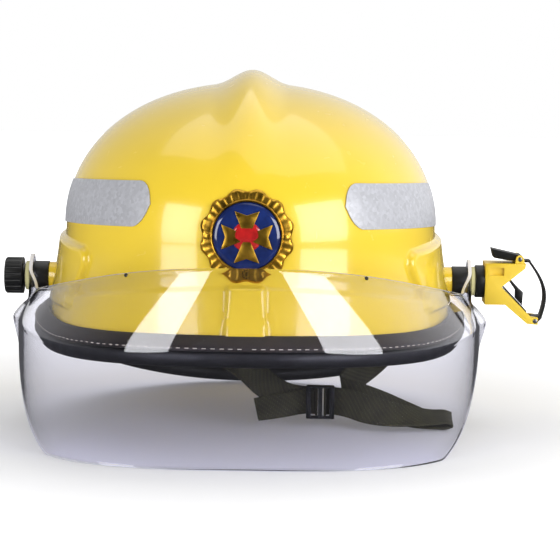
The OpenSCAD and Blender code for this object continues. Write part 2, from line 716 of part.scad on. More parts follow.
// The visor's outline, as heights of its edges at a distance y in front of the pivots
notch_y = -40;
notch_z = pivot_z - 4.5;
corner_y = -130;
function top_edge(y) =
    y < notch_y
    ? let (u = (notch_y - y) / (visor_front + notch_y))
        notch_z + (visor_top_z - notch_z) * pow(u, 1.25 + 0.7 * u)
    : notch_z + (pivot_z + ear_r - 1 - notch_z) * pow((y - notch_y) / -notch_y, 1.1);
function low_edge(y) =
    y < corner_y ? 0 : (pivot_z - ear_r + 1) * (y - corner_y) / -corner_y;

// Half width, reach and squareness of the visor at height z
waist_z = 68;
upper_in = 37;
function rise(z) = max(0, (z - waist_z) / (visor_top_z - waist_z));
function lens_half_w(z) =
    visor_half_w - upper_in * pow(rise(z), 1.35) - 6 * pow(max(0, (waist_z - z) / waist_z), 2);
function lens_reach(z) =
    visor_front - (z > 66 ? 4 * pow((z - 66) / (visor_top_z - 66), 2) : 8 * pow((66 - z) / 66, 2));
function lens_power(z) = 2.3 - 0.3 * min(1, rise(z)) + 0.8 * pow(max(0, (waist_z - z) / waist_z), 2);

// The ears stand out to the spacers' faces
ear_x = boss_x + spacer_l + fit;
function ear_out(y, z) =
    let (u = min(1, max(0, (y + 38) / 27)), w = u * u * (3 - 2 * u))
    w * (ear_x + visor_t - lens_half_w(z));

function lens_point(t, v, off) =
    let (y0 = -cos(t) * visor_front, z = low_edge(y0) + v * (top_edge(y0) - low_edge(y0)),
         r = oval(t, lens_half_w(z) - off, lens_reach(z) - off, lens_reach(z), lens_power(z)),
         p = at(t, r, z))
    [p[0] + sign(p[0]) * ear_out(p[1], z), p[1], z];

lens_cols = 64;
lens_rows = 12;
module lens_sheet() {
    // Angles closer together at the ears, where the sheet turns most
    angles = [for (i = [0:lens_cols]) let (f = 2 * i / lens_cols - 1) 90 * sign(f) * pow(abs(f), 0.8)];
    m = lens_rows + 1;
    n = lens_cols + 1;
    outer = [for (t = angles, j = [0:lens_rows]) lens_point(t, j / lens_rows, 0)];
    inner = [for (t = angles, j = [0:lens_rows]) lens_point(t, j / lens_rows, visor_t)];
    k = n * m;
    faces = concat(
        [for (i = [0:n - 2], j = [0:m - 2])
            let (a = i * m + j, b = a + m) each [[a, a + 1, b + 1], [a, b + 1, b]]],
        [for (i = [0:n - 2], j = [0:m - 2])
            let (a = k + i * m + j, b = a + m) each [[a, b + 1, a + 1], [a, b, b + 1]]],
        [for (i = [0:n - 2])
            let (a = i * m, b = a + m) each [[a, b, b + k], [a, b + k, a + k]]],
        [for (i = [0:n - 2])
            let (a = i * m + m - 1, b = a + m) each [[a, b + k, b], [a, a + k, b + k]]],
        [for (j = [0:m - 2]) each [[j, j + 1 + k, j + 1], [j, j + k, j + 1 + k]]],
        [for (j = [0:m - 2]) let (a = (n - 1) * m + j) each [[a, a + 1, a + 1 + k], [a, a + 1 + k, a + k]]]);
    polyhedron(concat(outer, inner), faces);
}
// The ears are flat discs with true bores on the studs
module visor_lens() {
    color(clear) difference() {
        union() {
            lens_sheet();
            for (s = [-1, 1]) on_pivot(s * ear_x, s * (ear_x + visor_t), ear_r);
        }
        for (s = [-1, 1]) {
            on_pivot(s * (ear_x - 1), s * (ear_x + visor_t + 1), stud_r + fit / 2);
            on_pivot(s * (ear_x - 6), s * ear_x, ear_r - 2);
            on_pivot(s * (ear_x + visor_t), s * (ear_x + visor_t + 6), ear_r - 2);
        }
    }
}
// Small stop buttons near the visor's top edge
stop_t = 26;
stop_v = 1 - (stop_r + 0.5) / visor_top_z;
module visor_stops() {
    p = lens_point(stop_t, stop_v, 0);
    across = lens_point(stop_t + 1, stop_v, 0) - p;
    up = lens_point(stop_t, stop_v - 0.01, 0) - p;
    out = cross(up, across) / norm(cross(up, across));
    color(black) for (s = [-1, 1]) translate([s * p[0], p[1], p[2]])
        rotate([0, acos(out[2]), atan2(out[1], s * out[0])])
            translate([0, 0, 0.12]) cylinder(h = 1.2, r = stop_r, $fn = 24);
}

module spacers() {
    color(black) for (s = [-1, 1]) difference() {
        on_pivot(s * boss_x, s * (boss_x + spacer_l), boss_r + 0.5);
        on_pivot(s * (boss_x - 1), s * (boss_x + spacer_l + 1), stud_r);
    }
}
washer_x = ear_x + visor_t;
collar_x = washer_x + washer_t;
stud_end = collar_x + 6;
module stud(s) {
    on_pivot(s * (nut_seat_x - nut_h - 2), s * stud_end, stud_r - 0.02);
}
module knob_side_stud() { color(steel) stud(-1); }
module clamp_side_stud() { color(steel) stud(1); }
module stud_nuts() {
    color(steel) for (s = [-1, 1]) difference() {
        translate([s > 0 ? nut_seat_x - nut_h : -nut_seat_x, 0, pivot_z]) rotate([0, 90, 0])
            cylinder(h = nut_h, r = nut_r, $fn = 6);
        on_pivot(s * (nut_seat_x - nut_h - 1), s * (nut_seat_x + 1), stud_r);
    }
}
module pale_washer(s) {
    difference() {
        on_pivot(s * washer_x, s * collar_x, washer_r);
        on_pivot(s * (washer_x - 1), s * (collar_x + 1), stud_r + fit / 2);
    }
}
module knob_side_washer() { color(pale) pale_washer(-1); }
module clamp_side_washer() { color(pale) pale_washer(1); }

neck_l = 1.8;
module clamping_knob() {
    color(black) difference() {
        union() {
            on_pivot(-collar_x - fit, -(collar_x + neck_l), 7);
            on_pivot(-(collar_x + neck_l), -(collar_x + neck_l + knob_l - 1), knob_r);
            translate([-(collar_x + neck_l + knob_l), 0, pivot_z]) rotate([0, 90, 0])
                cylinder(h = 1, r1 = knob_r - 1, r2 = knob_r, $fn = 48);
        }
        for (i = [0:knob_grooves - 1]) translate([-(collar_x + neck_l + knob_l + 1), 0, pivot_z])
            rotate([360 * i / knob_grooves, 0, 0]) translate([0, 0, knob_r + 0.4]) rotate([0, 90, 0])
                cylinder(h = knob_l, r = 1.1, $fn = 16);
        on_pivot(-collar_x, -stud_end - 0.5, stud_r + fit / 2);
    }
}

// The clamp turns on the stud as one piece with its collar
collar_l = 6;
block_x = collar_x + collar_l;
module clamp_collar() {
    color(black) difference() {
        on_pivot(collar_x + fit, block_x, 10.5);
        on_pivot(collar_x, block_x + 1, stud_r + fit / 2);
    }
}
vertex_x = block_x + block_l - 2;
vertex_z = pivot_z - 2.5;
jaw_up_x = vertex_x + jaw_reach - 2;
jaw_low_x = vertex_x + jaw_reach + 2;
jaw_low_z = vertex_z - jaw_reach - 2;
clamp_top_z = pivot_z + 12.6;
module clamp_outline() {
    polygon([[block_x, pivot_z - 14], [block_x, clamp_top_z], [jaw_up_x + 0.6, clamp_top_z],
        [jaw_up_x, pivot_z + 9.6], [vertex_x, vertex_z], [jaw_low_x, jaw_low_z],
        [jaw_low_x + 5, jaw_low_z - 0.6], [jaw_low_x + 5, jaw_low_z - jaw_t - 0.6],
        [jaw_low_x - 2, jaw_low_z - jaw_t], [block_x + block_l + 0.5, pivot_z - 14]]);
}
module clamp_across(w) { rotate([90, 0, 0]) translate([0, 0, -w / 2]) linear_extrude(w) children(); }
module clamp_body() {
    color(yellow) difference() {
        clamp_across(clamp_w) clamp_outline();
        translate([block_x + 3, -clamp_w / 2 - 1, pivot_z + 5]) cube([9, 3, 5]);
        clamp_across(clamp_w + 2) translate([lever_pin_x, lever_pin_z]) circle(1.5, $fn = 24);
        clamp_across(clamp_w + 2) translate([strap_pin_x, strap_pin_z]) circle(1.6, $fn = 24);
        translate([strap_pin_x - 2.9, -6.5, strap_pin_z - 4]) cube([10, 13, 8]);
    }
}
module clamp_jaw_pad() {
    color(black) clamp_across(clamp_w - 4) polygon([
        [vertex_x + 1.5, vertex_z - 1.1], [vertex_x + 3, vertex_z - 1.1],
        [jaw_low_x - 2.4, jaw_low_z + 3.6], [jaw_low_x - 2.4, jaw_low_z + 2.6]]);
}
// A sprung finger stands on the lower jaw's pad and presses on the torch
module clamp_spring() {
    color(black) clamp_across(8) translate([jaw_low_x, jaw_low_z])
        polygon([[-9, 10.9], [-4.7, 6.4], [-4.2, 15], [-7, 17.4], [-12.6, 23.6], [-13.7, 22.8], [-9, 16]]);
}
strap_pin_x = jaw_low_x + 3.2;
strap_pin_z = jaw_low_z - 2.9;
module clamp_strap_pin() {
    color(steel) clamp_across(clamp_w) translate([strap_pin_x, strap_pin_z]) circle(1.58, $fn = 24);
}
// The closing strap arcs from the lower pin to the lever
strap_top_z = clamp_top_z + 2 * gap + 0.7;
strap_bulge = 6;
function strap_arc(f, off) =
    let (x0 = strap_pin_x + 3.4, x1 = jaw_up_x + 2.6, z0 = strap_pin_z + 2, z1 = strap_top_z)
    [x0 + (x1 - x0) * f + strap_bulge * sin(180 * f) + off, z0 + (z1 - z0) * f];
module clamp_strap() {
    color(black) union() {
        clamp_across(12) polygon(concat([for (i = [0:14]) strap_arc(i / 14, 0)],
            [for (i = [14:-1:0]) strap_arc(i / 14, strap_t)]));
        clamp_across(12) difference() {
            hull() {
                translate([strap_pin_x, strap_pin_z]) circle(2.6, $fn = 24);
                translate([strap_pin_x + 3.4, strap_pin_z + 1.4]) square([strap_t, 1.4]);
            }
            translate([strap_pin_x, strap_pin_z]) circle(1.68, $fn = 24);
        }
        // The hook that the lever draws down
        translate([lever_pin_x + 3.4, -6, clamp_top_z + 2 * gap])
            cube([strap_arc(1, strap_t)[0] - lever_pin_x - 3.4, 12, 1.4]);
    }
}
lever_pin_x = jaw_up_x - 3.4;
lever_pin_z = clamp_top_z + 2.6 + gap;
lever_l = 18;
module clamp_lever() {
    color(black) clamp_across(14) difference() {
        union() {
            translate([lever_pin_x, lever_pin_z]) circle(2.6, $fn = 32);
            translate([lever_pin_x, lever_pin_z]) polygon([[0, -1.4], [0, 2.4], [-lever_l, 6.4],
                [1.4 - lever_l, 0.6], [-8, -1]]);
        }
        translate([lever_pin_x, lever_pin_z]) circle(1.6, $fn = 24);
    }
}
// Ears on the upper jaw carry the lever's pin
module clamp_catch() {
    color(yellow) for (s = [-1, 1]) translate([0, s * 9, 0]) clamp_across(3) difference() {
        hull() {
            translate([lever_pin_x, lever_pin_z]) circle(2.6, $fn = 24);
            translate([lever_pin_x - 3, clamp_top_z]) square([6, 0.6]);
        }
        translate([lever_pin_x, lever_pin_z]) circle(1.5, $fn = 24);
    }
}
module clamp_lever_pin() {
    color(steel) clamp_across(21) translate([lever_pin_x, lever_pin_z]) circle(1.48, $fn = 24);
}

outer_shell();
knob_side_boss();
clamp_side_boss();
impact_liner();
rim_skirt();
hem_piping();
front_patches();
rear_patches();
badge_plate();
badge_field();
badge_cross();
badge_studs();
headband();
sweatband();
crown_straps();
crown_pad();
strap_hangers();
hanger_rivets();
ratchet_housing();
ratchet_cover();
ratchet_pinion();
ratchet_knob();
rack_upper();
rack_lower();
chin_strap_left();
chin_strap_right();
chin_anchors();
chin_rivets();
chin_buckle();
chin_tail();
visor_lens();
visor_stops();
spacers();
knob_side_stud();
clamp_side_stud();
stud_nuts();
knob_side_washer();
clamp_side_washer();
clamping_knob();
clamp_collar();
clamp_body();
clamp_jaw_pad();
clamp_spring();
clamp_strap();
clamp_strap_pin();
clamp_lever();
clamp_lever_pin();
clamp_catch();
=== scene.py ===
"""Fire helmet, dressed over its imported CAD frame.

Sizes inside the shape functions are in millimetres, as on a drawing. Meshes are made in metres.
X is across the head, the front faces -Y and Z is up, with the floor at Z = 0.
"""

import json
import math

import bpy
import bmesh
from bpy.props import FloatProperty, FloatVectorProperty, IntProperty, PointerProperty
from mathutils import Matrix, Vector


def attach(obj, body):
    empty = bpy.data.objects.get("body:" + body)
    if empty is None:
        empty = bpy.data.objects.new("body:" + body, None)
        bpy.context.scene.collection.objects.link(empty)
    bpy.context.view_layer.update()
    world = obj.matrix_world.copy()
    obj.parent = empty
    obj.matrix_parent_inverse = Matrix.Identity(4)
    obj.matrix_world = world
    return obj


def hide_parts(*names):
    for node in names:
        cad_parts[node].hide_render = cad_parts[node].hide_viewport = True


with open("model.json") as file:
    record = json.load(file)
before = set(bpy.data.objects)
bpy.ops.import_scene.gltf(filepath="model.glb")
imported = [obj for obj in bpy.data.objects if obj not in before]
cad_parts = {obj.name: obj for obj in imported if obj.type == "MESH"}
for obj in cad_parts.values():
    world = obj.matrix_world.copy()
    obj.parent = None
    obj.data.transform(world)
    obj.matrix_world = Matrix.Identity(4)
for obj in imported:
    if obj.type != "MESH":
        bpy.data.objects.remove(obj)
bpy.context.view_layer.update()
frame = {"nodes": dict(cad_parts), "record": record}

bl_info = {
    "name": "Fire helmet",
    "version": (1, 0, 0),
    "blender": (4, 5, 0),
    "location": "View3D > Sidebar > Helmet",
    "description": "Dresses a fire helmet's CAD frame with finished pieces and materials",
    "category": "Object",
}

MM = 0.001
NODES = frame["nodes"]
BODIES = frame["record"]["behaviour"]["bodies"]


def linear(hex_colour):
    """An sRGB hex colour as linear red, green and blue."""
    channels = [int(hex_colour[i : i + 2], 16) / 255 for i in (1, 3, 5)]
    return tuple(c / 12.92 if c <= 0.04045 else ((c + 0.055) / 1.055) ** 2.4 for c in channels)


def length_property(name, description, default):
    """A length that a user can change."""
    return FloatProperty(name=name, description=description, default=default, unit="LENGTH")


def colour_property(name, description, hex_colour):
    """A colour that a user can change."""
    return FloatVectorProperty(
        name=name, description=description, default=linear(hex_colour), size=3, min=0, max=1, subtype="COLOR"
    )


class HelmetSizes(bpy.types.PropertyGroup):
    """Sizes that a user would change"""

    band_out: length_property("Band", "How far the lower band stands proud", 0.0018)
    panel_out: length_property("Ear panels", "How far the ear panels stand proud", 0.004)
    rib_out: length_property("Front rib", "How far the front rib stands proud", 0.005)
    stitch_pitch: length_property("Stitch pitch", "From stitch to stitch on the rim", 0.0052)
    thread: length_property("Thread", "Radius of the sewing thread", 0.00042)
    webbing_pitch: length_property("Webbing pitch", "From rib to rib of the woven webbing", 0.0011)
    stitch_sides: IntProperty(name="Thread sides", description="Sides of a stitch", default=6, min=4, max=10)


class HelmetColours(bpy.types.PropertyGroup):
    """Colours that a user would change"""

    shell: colour_property("Shell", "Moulded outer shell", "#ECCB38")
    clamp: colour_property("Torch clamp", "Moulded torch clamp", "#EBC93A")
    leather: colour_property("Leather", "Rim leather", "#1C130A")
    hem: colour_property("Hem", "Rolled rim hem", "#0A0A0B")
    thread: colour_property("Thread", "Sewing thread", "#D9CFBB")
    chin: colour_property("Chin webbing", "Olive chin webbing", "#3A3820")
    cradle: colour_property("Cradle", "Moulded cradle parts", "#1B1C1E")
    black: colour_property("Black nylon", "Knob, spacers and buckle", "#141516")
    sheet: colour_property("Reflective sheet", "Reflective patches", "#B9BAC0")
    gilt: colour_property("Gilt", "Badge metal", "#D9A93C")
    enamel: colour_property("Blue enamel", "Badge field", "#15265C")
    red: colour_property("Red enamel", "Badge centre", "#A51B1B")
    pale: colour_property("Pale washers", "Moulded washers", "#D8D29A")
    visor: colour_property("Visor", "Clear visor", "#EEEEF9")


# Shape of the helmet, in millimetres

RIM_HALF, RIM_FRONT, RIM_REAR = 128.0, 149.0, 148.0
DOME_HALF, DOME_FRONT, DOME_REAR = 118.5, 140.0, 143.0
DOME_BASE, DOME_H, CREST_H, CREST_HALF = 128.0, 91.5, 8.2, 24.0
FRONT_Z, EAR_Z, REAR_Z, DIP_Z = 71.0, 74.0, 12.6, 66.0
BAND_H, HEM_DROP, HEM_OUT = 32.0, 12.6, 9.6
WALL, PIVOT_Z = 3.0, 93.0
HEAD_HALF, HEAD_LONG = 83.0, 101.0


def sin(a):
    """Sine of an angle in degrees."""
    return math.sin(math.radians(a))


def cos(a):
    """Cosine of an angle in degrees."""
    return math.cos(math.radians(a))


def ease(x):
    """0 below 0, 1 above 1 and a smooth step between."""
    x = min(1.0, max(0.0, x))
    return x * x * (3 - 2 * x)


def oval(t, half, front, rear, power):
    """Radius of an oval outline at angle t from the front."""
    long = front if cos(t) > 0 else rear
    return ((abs(sin(t)) / half) ** power + (abs(cos(t)) / long) ** power) ** (-1 / power)


def rim_r(t):
    """Radius of the shell's lower edge."""
    return oval(t, RIM_HALF, RIM_FRONT, RIM_REAR, 2)


def dome_r(t):
    """Radius at the base of the dome."""
    return oval(t, DOME_HALF, DOME_FRONT, DOME_REAR, 2.1)


def head_r(t):
    """Radius of the headband."""
    return oval(t, HEAD_HALF, HEAD_LONG, HEAD_LONG, 2.2)


def rim_z(t):
    """Height of the shell's lower edge."""
    if cos(t) >= 0:
        return DIP_Z + (FRONT_Z - DIP_Z) * cos(t) ** 4 + (EAR_Z - DIP_Z) * abs(sin(t)) ** 12
    return EAR_Z - (EAR_Z - REAR_Z) * (-cos(t) * rim_r(t) / RIM_REAR) ** 1.1


def crest(x, y):
    """Height of the ridge of even width that sinks towards the front and the rear."""
    s = min(1, abs(y) / (DOME_FRONT if y < 0 else DOME_REAR))
    u = min(1, abs(x) / CREST_HALF)
    return CREST_H * (1 - s**4) * (1 + cos(180 * u)) / 2


def wall_r(t, z):
    """Radius of the wall at height z, below the dome."""
    u = max(0, (DOME_BASE - z) / (DOME_BASE - rim_z(t)))
    return dome_r(t) + (rim_r(t) - dome_r(t)) * u**1.6 - 6 * sin(180 * u) * max(0, -cos(t)) ** 2


def panel_depth(y, z):
    """Distance inside the outline of an ear panel, seen from the side."""
    low, top, front, rear, r = EAR_Z + 6, PIVOT_Z + 31, -86, 34, 8
    corners = [(rear - r, top - r), (front + r, top - r - 4), (front + r + 10, low + r), (rear - r, low + r)]
    outside, nearest = -1e9, 1e9
    for (y0, z0), (y1, z1) in zip(corners, corners[1:] + corners[:1]):
        dy, dz = y1 - y0, z1 - z0
        side = math.hypot(dy, dz)
        outside = max(outside, ((y - y0) * dz - (z - z0) * dy) / side)
        along = min(1, max(0, ((y - y0) * dy + (z - z0) * dz) / side**2))
        nearest = min(nearest, math.hypot(y - y0 - dy * along, z - z0 - dz * along))
    return r - (nearest if outside > 0 else outside)


def proud(t, x, y, z):
    """How far the band, the ear panels and the front rib stand off the plain wall."""
    sizes = bpy.context.scene.helmet_sizes
    band_top = rim_z(t) + BAND_H * (0.78 + 0.22 * cos(2 * t))
    out = sizes.band_out / MM * ease((band_top - z) / 2.6 + 0.5)
    if abs(x) > 60 and -92 < y < 40:
        out = max(out, sizes.panel_out / MM * ease(panel_depth(y, z) / 3.2 + 0.3))
    if y < -60 and abs(x) < 22:
        half = 11 + 1.5 * ease((FRONT_Z + BAND_H - z) / BAND_H)
        across = ease((half - abs(x)) / 2.6 + 0.5)
        up = ease((FRONT_Z + BAND_H + 1 - z) / 3 + 0.5)
        out = max(out, sizes.rib_out / MM * across * up)
    return out


def shell_point(t, v):
    """A point of the shell: v is 0 at the top, 1 at the dome's base and 2 at the lower edge."""
    if v <= 1:
        a = 90 * (1 - v)
        c, s = max(0.0, cos(a)) ** (2 / 2.15), sin(a) ** (2 / 2.15)
        x, y = dome_r(t) * c * sin(t), -dome_r(t) * c * cos(t)
        return (x, y, DOME_BASE + DOME_H * s + crest(x, y))
    z = DOME_BASE + (v - 1) * (rim_z(t) - DOME_BASE)
    r = wall_r(t, z)
    r += proud(t, r * sin(t), -r * cos(t), z)
    return (r * sin(t), -r * cos(t), z)


# Making pieces


def deselect():
    """Nothing is selected, and Blender is in object mode."""
    if bpy.context.object and bpy.context.object.mode != "OBJECT":
        bpy.ops.object.mode_set(mode="OBJECT")
    bpy.ops.object.select_all(action="DESELECT")


def fresh(add_mesh, **settings):
    """A new piece from one of Blender's own meshes."""
    deselect()
    add_mesh(**settings)
    return bpy.context.object


def only(piece):
    """Only this piece is selected and active."""
    deselect()
    piece.select_set(True)
    bpy.context.view_layer.objects.active = piece
    return piece


def in_edit(piece, *steps):
    """Runs edit-mode steps on all of a piece."""
    only(piece)
    bpy.ops.object.mode_set(mode="EDIT")
    bpy.ops.mesh.select_all(action="SELECT")
    for step in steps:
        step()
    bpy.ops.object.mode_set(mode="OBJECT")
    return piece


def merge(distance):
    """An edit step that joins corners that meet."""
    return lambda: bpy.ops.mesh.remove_doubles(threshold=distance)


def outward():
    """An edit step that turns all faces outwards."""
    bpy.ops.mesh.normals_make_consistent(inside=False)


def modify(piece, kind, **settings):
    """Adds a modifier and applies it."""
    only(piece)
    modifier = piece.modifiers.new(kind.title(), kind)
    for key, value in settings.items():
        setattr(modifier, key, value)
    bpy.ops.object.modifier_apply(modifier=modifier.name)
    return piece


def bevel(piece, width, segments=1, angle=50):
    """Rounds edges sharper than the angle."""
    radians = math.radians(angle)
    modify(piece, "BEVEL", width=width, segments=segments, limit_method="ANGLE", angle_limit=radians)


def smooth(piece, angle=35):
    """Shades a piece smooth, apart from edges sharper than the angle."""
    only(piece)
    bpy.ops.object.shade_smooth_by_angle(angle=math.radians(angle))
    return piece


def place(piece):
    """Puts a piece's place and turn into its mesh."""
    only(piece)
    bpy.ops.object.transform_apply(location=True, rotation=True, scale=True)
    return piece


def body_of(node):
    """The CAD body that a node belongs to."""
    return next(name for name, nodes in BODIES.items() if node in nodes)


def finish(piece, name, material, node, replaces=None, more=()):
    """Names a piece, gives it its materials and lets it ride on the body of a node."""
    piece.name = name
    piece.data.name = name
    piece.data.materials.clear()
    for each in (material, *more):
        piece.data.materials.append(finish_of(each))
    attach(piece, body_of(node))
    replaces = (node,) if replaces is None else replaces
    if replaces:
        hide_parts(*replaces)


def carried(material, width, *nodes, angle=35):
    """CAD nodes' own shapes with their corners merged and their edges softened."""
    for node in nodes:
        name = node + "_finished"
        piece = bpy.data.objects.new(name, NODES[node].data.copy())
        bpy.context.scene.collection.objects.link(piece)
        in_edit(piece, merge(2e-6), lambda: bpy.ops.mesh.dissolve_limited(angle_limit=math.radians(0.4)))
        if width:
            bevel(piece, width, 2, 40)
        in_edit(piece, bpy.ops.mesh.quads_convert_to_tris, merge(1e-6))
        smooth(piece, angle)
        finish(piece, name, material, node)


def shaped_grid(columns, rows, point):
    """A grid whose corners go where point(column, row) says, in millimetres."""
    piece = fresh(bpy.ops.mesh.primitive_grid_add, x_subdivisions=columns, y_subdivisions=rows, size=2)
    for corner in piece.data.vertices:
        u, v = (corner.co.x + 1) / 2, (corner.co.y + 1) / 2
        corner.co = Vector(point(round(u * columns), round(v * rows))) * MM
    return piece


def shaped_ring(around, section):
    """A closed tube round the helmet: section(t) lists its corners as (r, z) in millimetres."""
    count = len(section(0))
    sides = {"major_segments": around, "minor_segments": count}
    piece = fresh(bpy.ops.mesh.primitive_torus_add, major_radius=0.14, minor_radius=0.01, **sides)
    for i in range(around):
        t = 360 * i / around
        for j, (r, z) in enumerate(section(t)):
            piece.data.vertices[i * count + j].co = Vector((r * sin(t), -r * cos(t), z)) * MM
    return in_edit(piece, outward)


def joined(pieces):
    """Like pieces as one."""
    deselect()
    for piece in pieces:
        piece.select_set(True)
    bpy.context.view_layer.objects.active = pieces[0]
    bpy.ops.object.join()
    return bpy.context.object


def through(points, steps):
    """Points of a smooth curve through the given ones."""
    out = []
    for i in range(len(points) - 1):
        p0, p1, p2, p3 = (Vector(points[min(max(k, 0), len(points) - 1)]) for k in (i - 1, i, i + 1, i + 2))
        for k in range(steps):
            f = k / steps
            slope, curl = (p2 - p0) * f, (2 * p0 - 5 * p1 + 4 * p2 - p3) * f * f
            out.append(0.5 * (2 * p1 + slope + curl + (3 * p1 - p0 - 3 * p2 + p3) * f * f * f))
    out.append(Vector(points[-1]))
    return out


def webbing(path, across, width, thick, steps):
    """A woven strap along a route, with rounded edges and a UV map of its real size in metres."""
    rail = through(path, steps)
    side = through(across, steps)
    half, edge = width / 2, thick / 2
    corner = [(-half + edge * (1 - cos(a)), edge * sin(a)) for a in (0, 30, 60, 90)]
    flat = [(-half + width * k / 10, edge) for k in range(1, 10)]
    top = corner + flat + [(-x, y) for x, y in reversed(corner)]
    ring = top + [(x, -y) for x, y in reversed(top[1:-1])]
    count = len(ring)
    piece = fresh(bpy.ops.mesh.primitive_cylinder_add, vertices=count)
    mesh = bmesh.new()
    layers = mesh.loops.layers.uv.new("UVMap")
    rows, lengths, run = [], [], 0.0
    for k, point in enumerate(rail):
        along = (rail[min(k + 1, len(rail) - 1)] - rail[max(k - 1, 0)]).normalized()
        wide = (side[k] - side[k].dot(along) * along).normalized()
        up = along.cross(wide).normalized()
        rows.append([mesh.verts.new((point + wide * x + up * y) * MM) for x, y in ring])
        run += (point - rail[k - 1]).length if k else 0
        lengths.append(run)
    around = [0.0]
    for a, b in zip(ring, ring[1:] + ring[:1]):
        around.append(around[-1] + math.dist(a, b))
    for k in range(len(rows) - 1):
        for j in range(count):
            corners = ((k, j), (k, j + 1), (k + 1, j + 1), (k + 1, j))
            face = mesh.faces.new([rows[row][column % count] for row, column in corners])
            for loop, (row, column) in zip(face.loops, corners):
                loop[layers].uv = (around[column] * MM, lengths[row] * MM)
    mesh.faces.new(rows[0][::-1])
    mesh.faces.new(rows[-1])
    mesh.to_mesh(piece.data)
    mesh.free()
    in_edit(piece, outward)
    return smooth(piece, 50)


def hit(start, direction):
    """Where a ray in millimetres first meets the finished shell."""
    shell = bpy.data.objects["shell_moulding"]
    found, point, normal, _ = shell.ray_cast(Vector(start) * MM, Vector(direction))
    if not found:
        raise RuntimeError(f"nothing to lie on at {tuple(start)}")
    return point / MM, normal


def drape(piece, axis, lift):
    """Lays a flat piece on the shell: its height along the axis becomes its height off the shell."""
    for corner in piece.data.vertices:
        start = corner.co / MM
        height = start[axis[0]] * axis[1]
        start[axis[0]] = 200 * axis[1]
        direction = [0, 0, 0]
        direction[axis[0]] = -axis[1]
        point, normal = hit(start, direction)
        corner.co = (point + normal * (height + lift)) * MM
    return piece


# Materials


def add(tree, kind, settings=None, links=None):
    """Adds a shader node with its settings, and links sockets or other nodes' first outputs to its inputs."""
    made = tree.nodes.new("ShaderNode" + kind)
    for key, value in (settings or {}).items():
        if key == "stops":
            for element, (at, colour) in zip(made.color_ramp.elements, value):
                element.position, element.color = at, (*colour, 1)
        elif isinstance(key, int) or key in made.inputs.keys():
            made.inputs[key].default_value = value
        else:
            setattr(made, key, value)
    for key, source in (links or {}).items():
        tree.links.new(getattr(source, "outputs", [source])[0], made.inputs[key])
    return made


def started(name, colour, roughness, **sockets):
    """A material with its Principled node, and a function that adds a pattern in Object coordinates."""
    made = bpy.data.materials.new(name)
    made.use_nodes = True
    made.diffuse_color = (*colour, 1)
    tree = made.node_tree
    tree.nodes.clear()
    body = add(tree, "BsdfPrincipled", {"Base Color": (*colour, 1), "Roughness": roughness, **sockets})
    add(tree, "OutputMaterial", links={"Surface": body})
    place_at = add(tree, "TexCoord").outputs["Object"]
    return made, lambda kind, **settings: add(tree, kind, settings, {"Vector": place_at})


def scaled(colour, factor):
    """A colour made lighter or darker."""
    return tuple(min(1.0, c * factor) for c in colour)


def driven(made, colour, shades=None, gloss=None, dents=None):
    """Lets patterns drive a material: shades of its colour, its range of roughness, and its dents."""
    tree = made.node_tree
    drives = []
    if shades:
        stops = [(at, scaled(colour, factor)) for at, factor in shades[1:]]
        drives.append(("Base Color", "ValToRGB", {"stops": stops}, {"Fac": shades[0]}))
    if gloss:
        drives.append(("Roughness", "MapRange", gloss[1], {"Value": gloss[0]}))
    if dents:
        drives.append(("Normal", "Bump", {"Strength": dents[1], "Distance": dents[2]}, {"Height": dents[0]}))
    for socket, *node in drives:
        tree.links.new(add(tree, *node).outputs[0], tree.nodes["Principled BSDF"].inputs[socket])
    return made


def moulded(name, colour, roughness, vary=0.08, grain=0.0006, bump=0.15):
    """Moulded plastic: even colour with a faint flow mottle, and the mould's fine texture in its gloss."""
    made, over = started(name, colour, roughness, IOR=1.5)
    mottle = over("TexNoise", Scale=38.0, Detail=3.0)
    fine = over("TexNoise", Scale=1 / grain, Detail=2.0)
    shades = (mottle, (0.3, 1 - vary), (0.7, 1 + vary))
    ends = {"To Min": roughness * 0.85, "To Max": roughness * 1.2}
    return driven(made, colour, shades, (fine, ends), (fine, bump, 0.0001))


def shell_lacquer(name, colour):
    """Yellow composite shell under clear lacquer: deep colour, sharp reflections and faint orange peel."""
    coat = {"Coat Weight": 0.6, "Coat Roughness": 0.06, "Coat IOR": 1.5}
    made, over = started(name, colour, 0.22, IOR=1.5, **coat)
    cloudy = over("TexNoise", Scale=14.0, Detail=3.0)
    # Light scuffing, in patches about 18 mm across, dulls the gloss a little
    scuffs = over("TexNoise", Scale=55.0, Detail=8.0, Distortion=1.5)
    worn = {"From Min": 0.62, "From Max": 0.74, "To Min": 0.2, "To Max": 0.34}
    peel = over("TexNoise", Scale=420.0, Detail=1.0)
    return driven(made, colour, (cloudy, (0.3, 0.96), (0.72, 1.03)), (scuffs, worn), (peel, 0.04, 0.0002))


def grained_leather(name, colour, roughness=0.5, grain=0.0013):
    """Dyed cowhide: pebbles about a millimetre across, darker in the creases, with a low sheen."""
    made, over = started(name, colour, roughness, IOR=1.5)
    pebbles = over("TexVoronoi", Scale=1 / grain, feature="DISTANCE_TO_EDGE")
    worn = over("TexNoise", Scale=60.0, Detail=4.0)
    ends = {"To Min": roughness * 0.75, "To Max": roughness * 1.25}
    return driven(made, colour, (worn, (0.35, 0.7), (0.7, 1.6)), (worn, ends), (pebbles, 0.45, 0.0003))


def soft_rubber(name, colour, roughness=0.42):
    """Calendered rubber: near black, satin, with fine wrinkles and a dusty bloom."""
    made, over = started(name, colour, roughness, IOR=1.52)
    bloom = over("TexNoise", Scale=45.0, Detail=5.0)
    wrinkle = over("TexNoise", Scale=300.0, Detail=4.0, Distortion=0.8)
    ends = {"To Min": roughness * 0.8, "To Max": roughness * 1.3}
    return driven(made, colour, (bloom, (0.4, 1), (0.75, 2.2)), (bloom, ends), (wrinkle, 0.3, 0.0003))


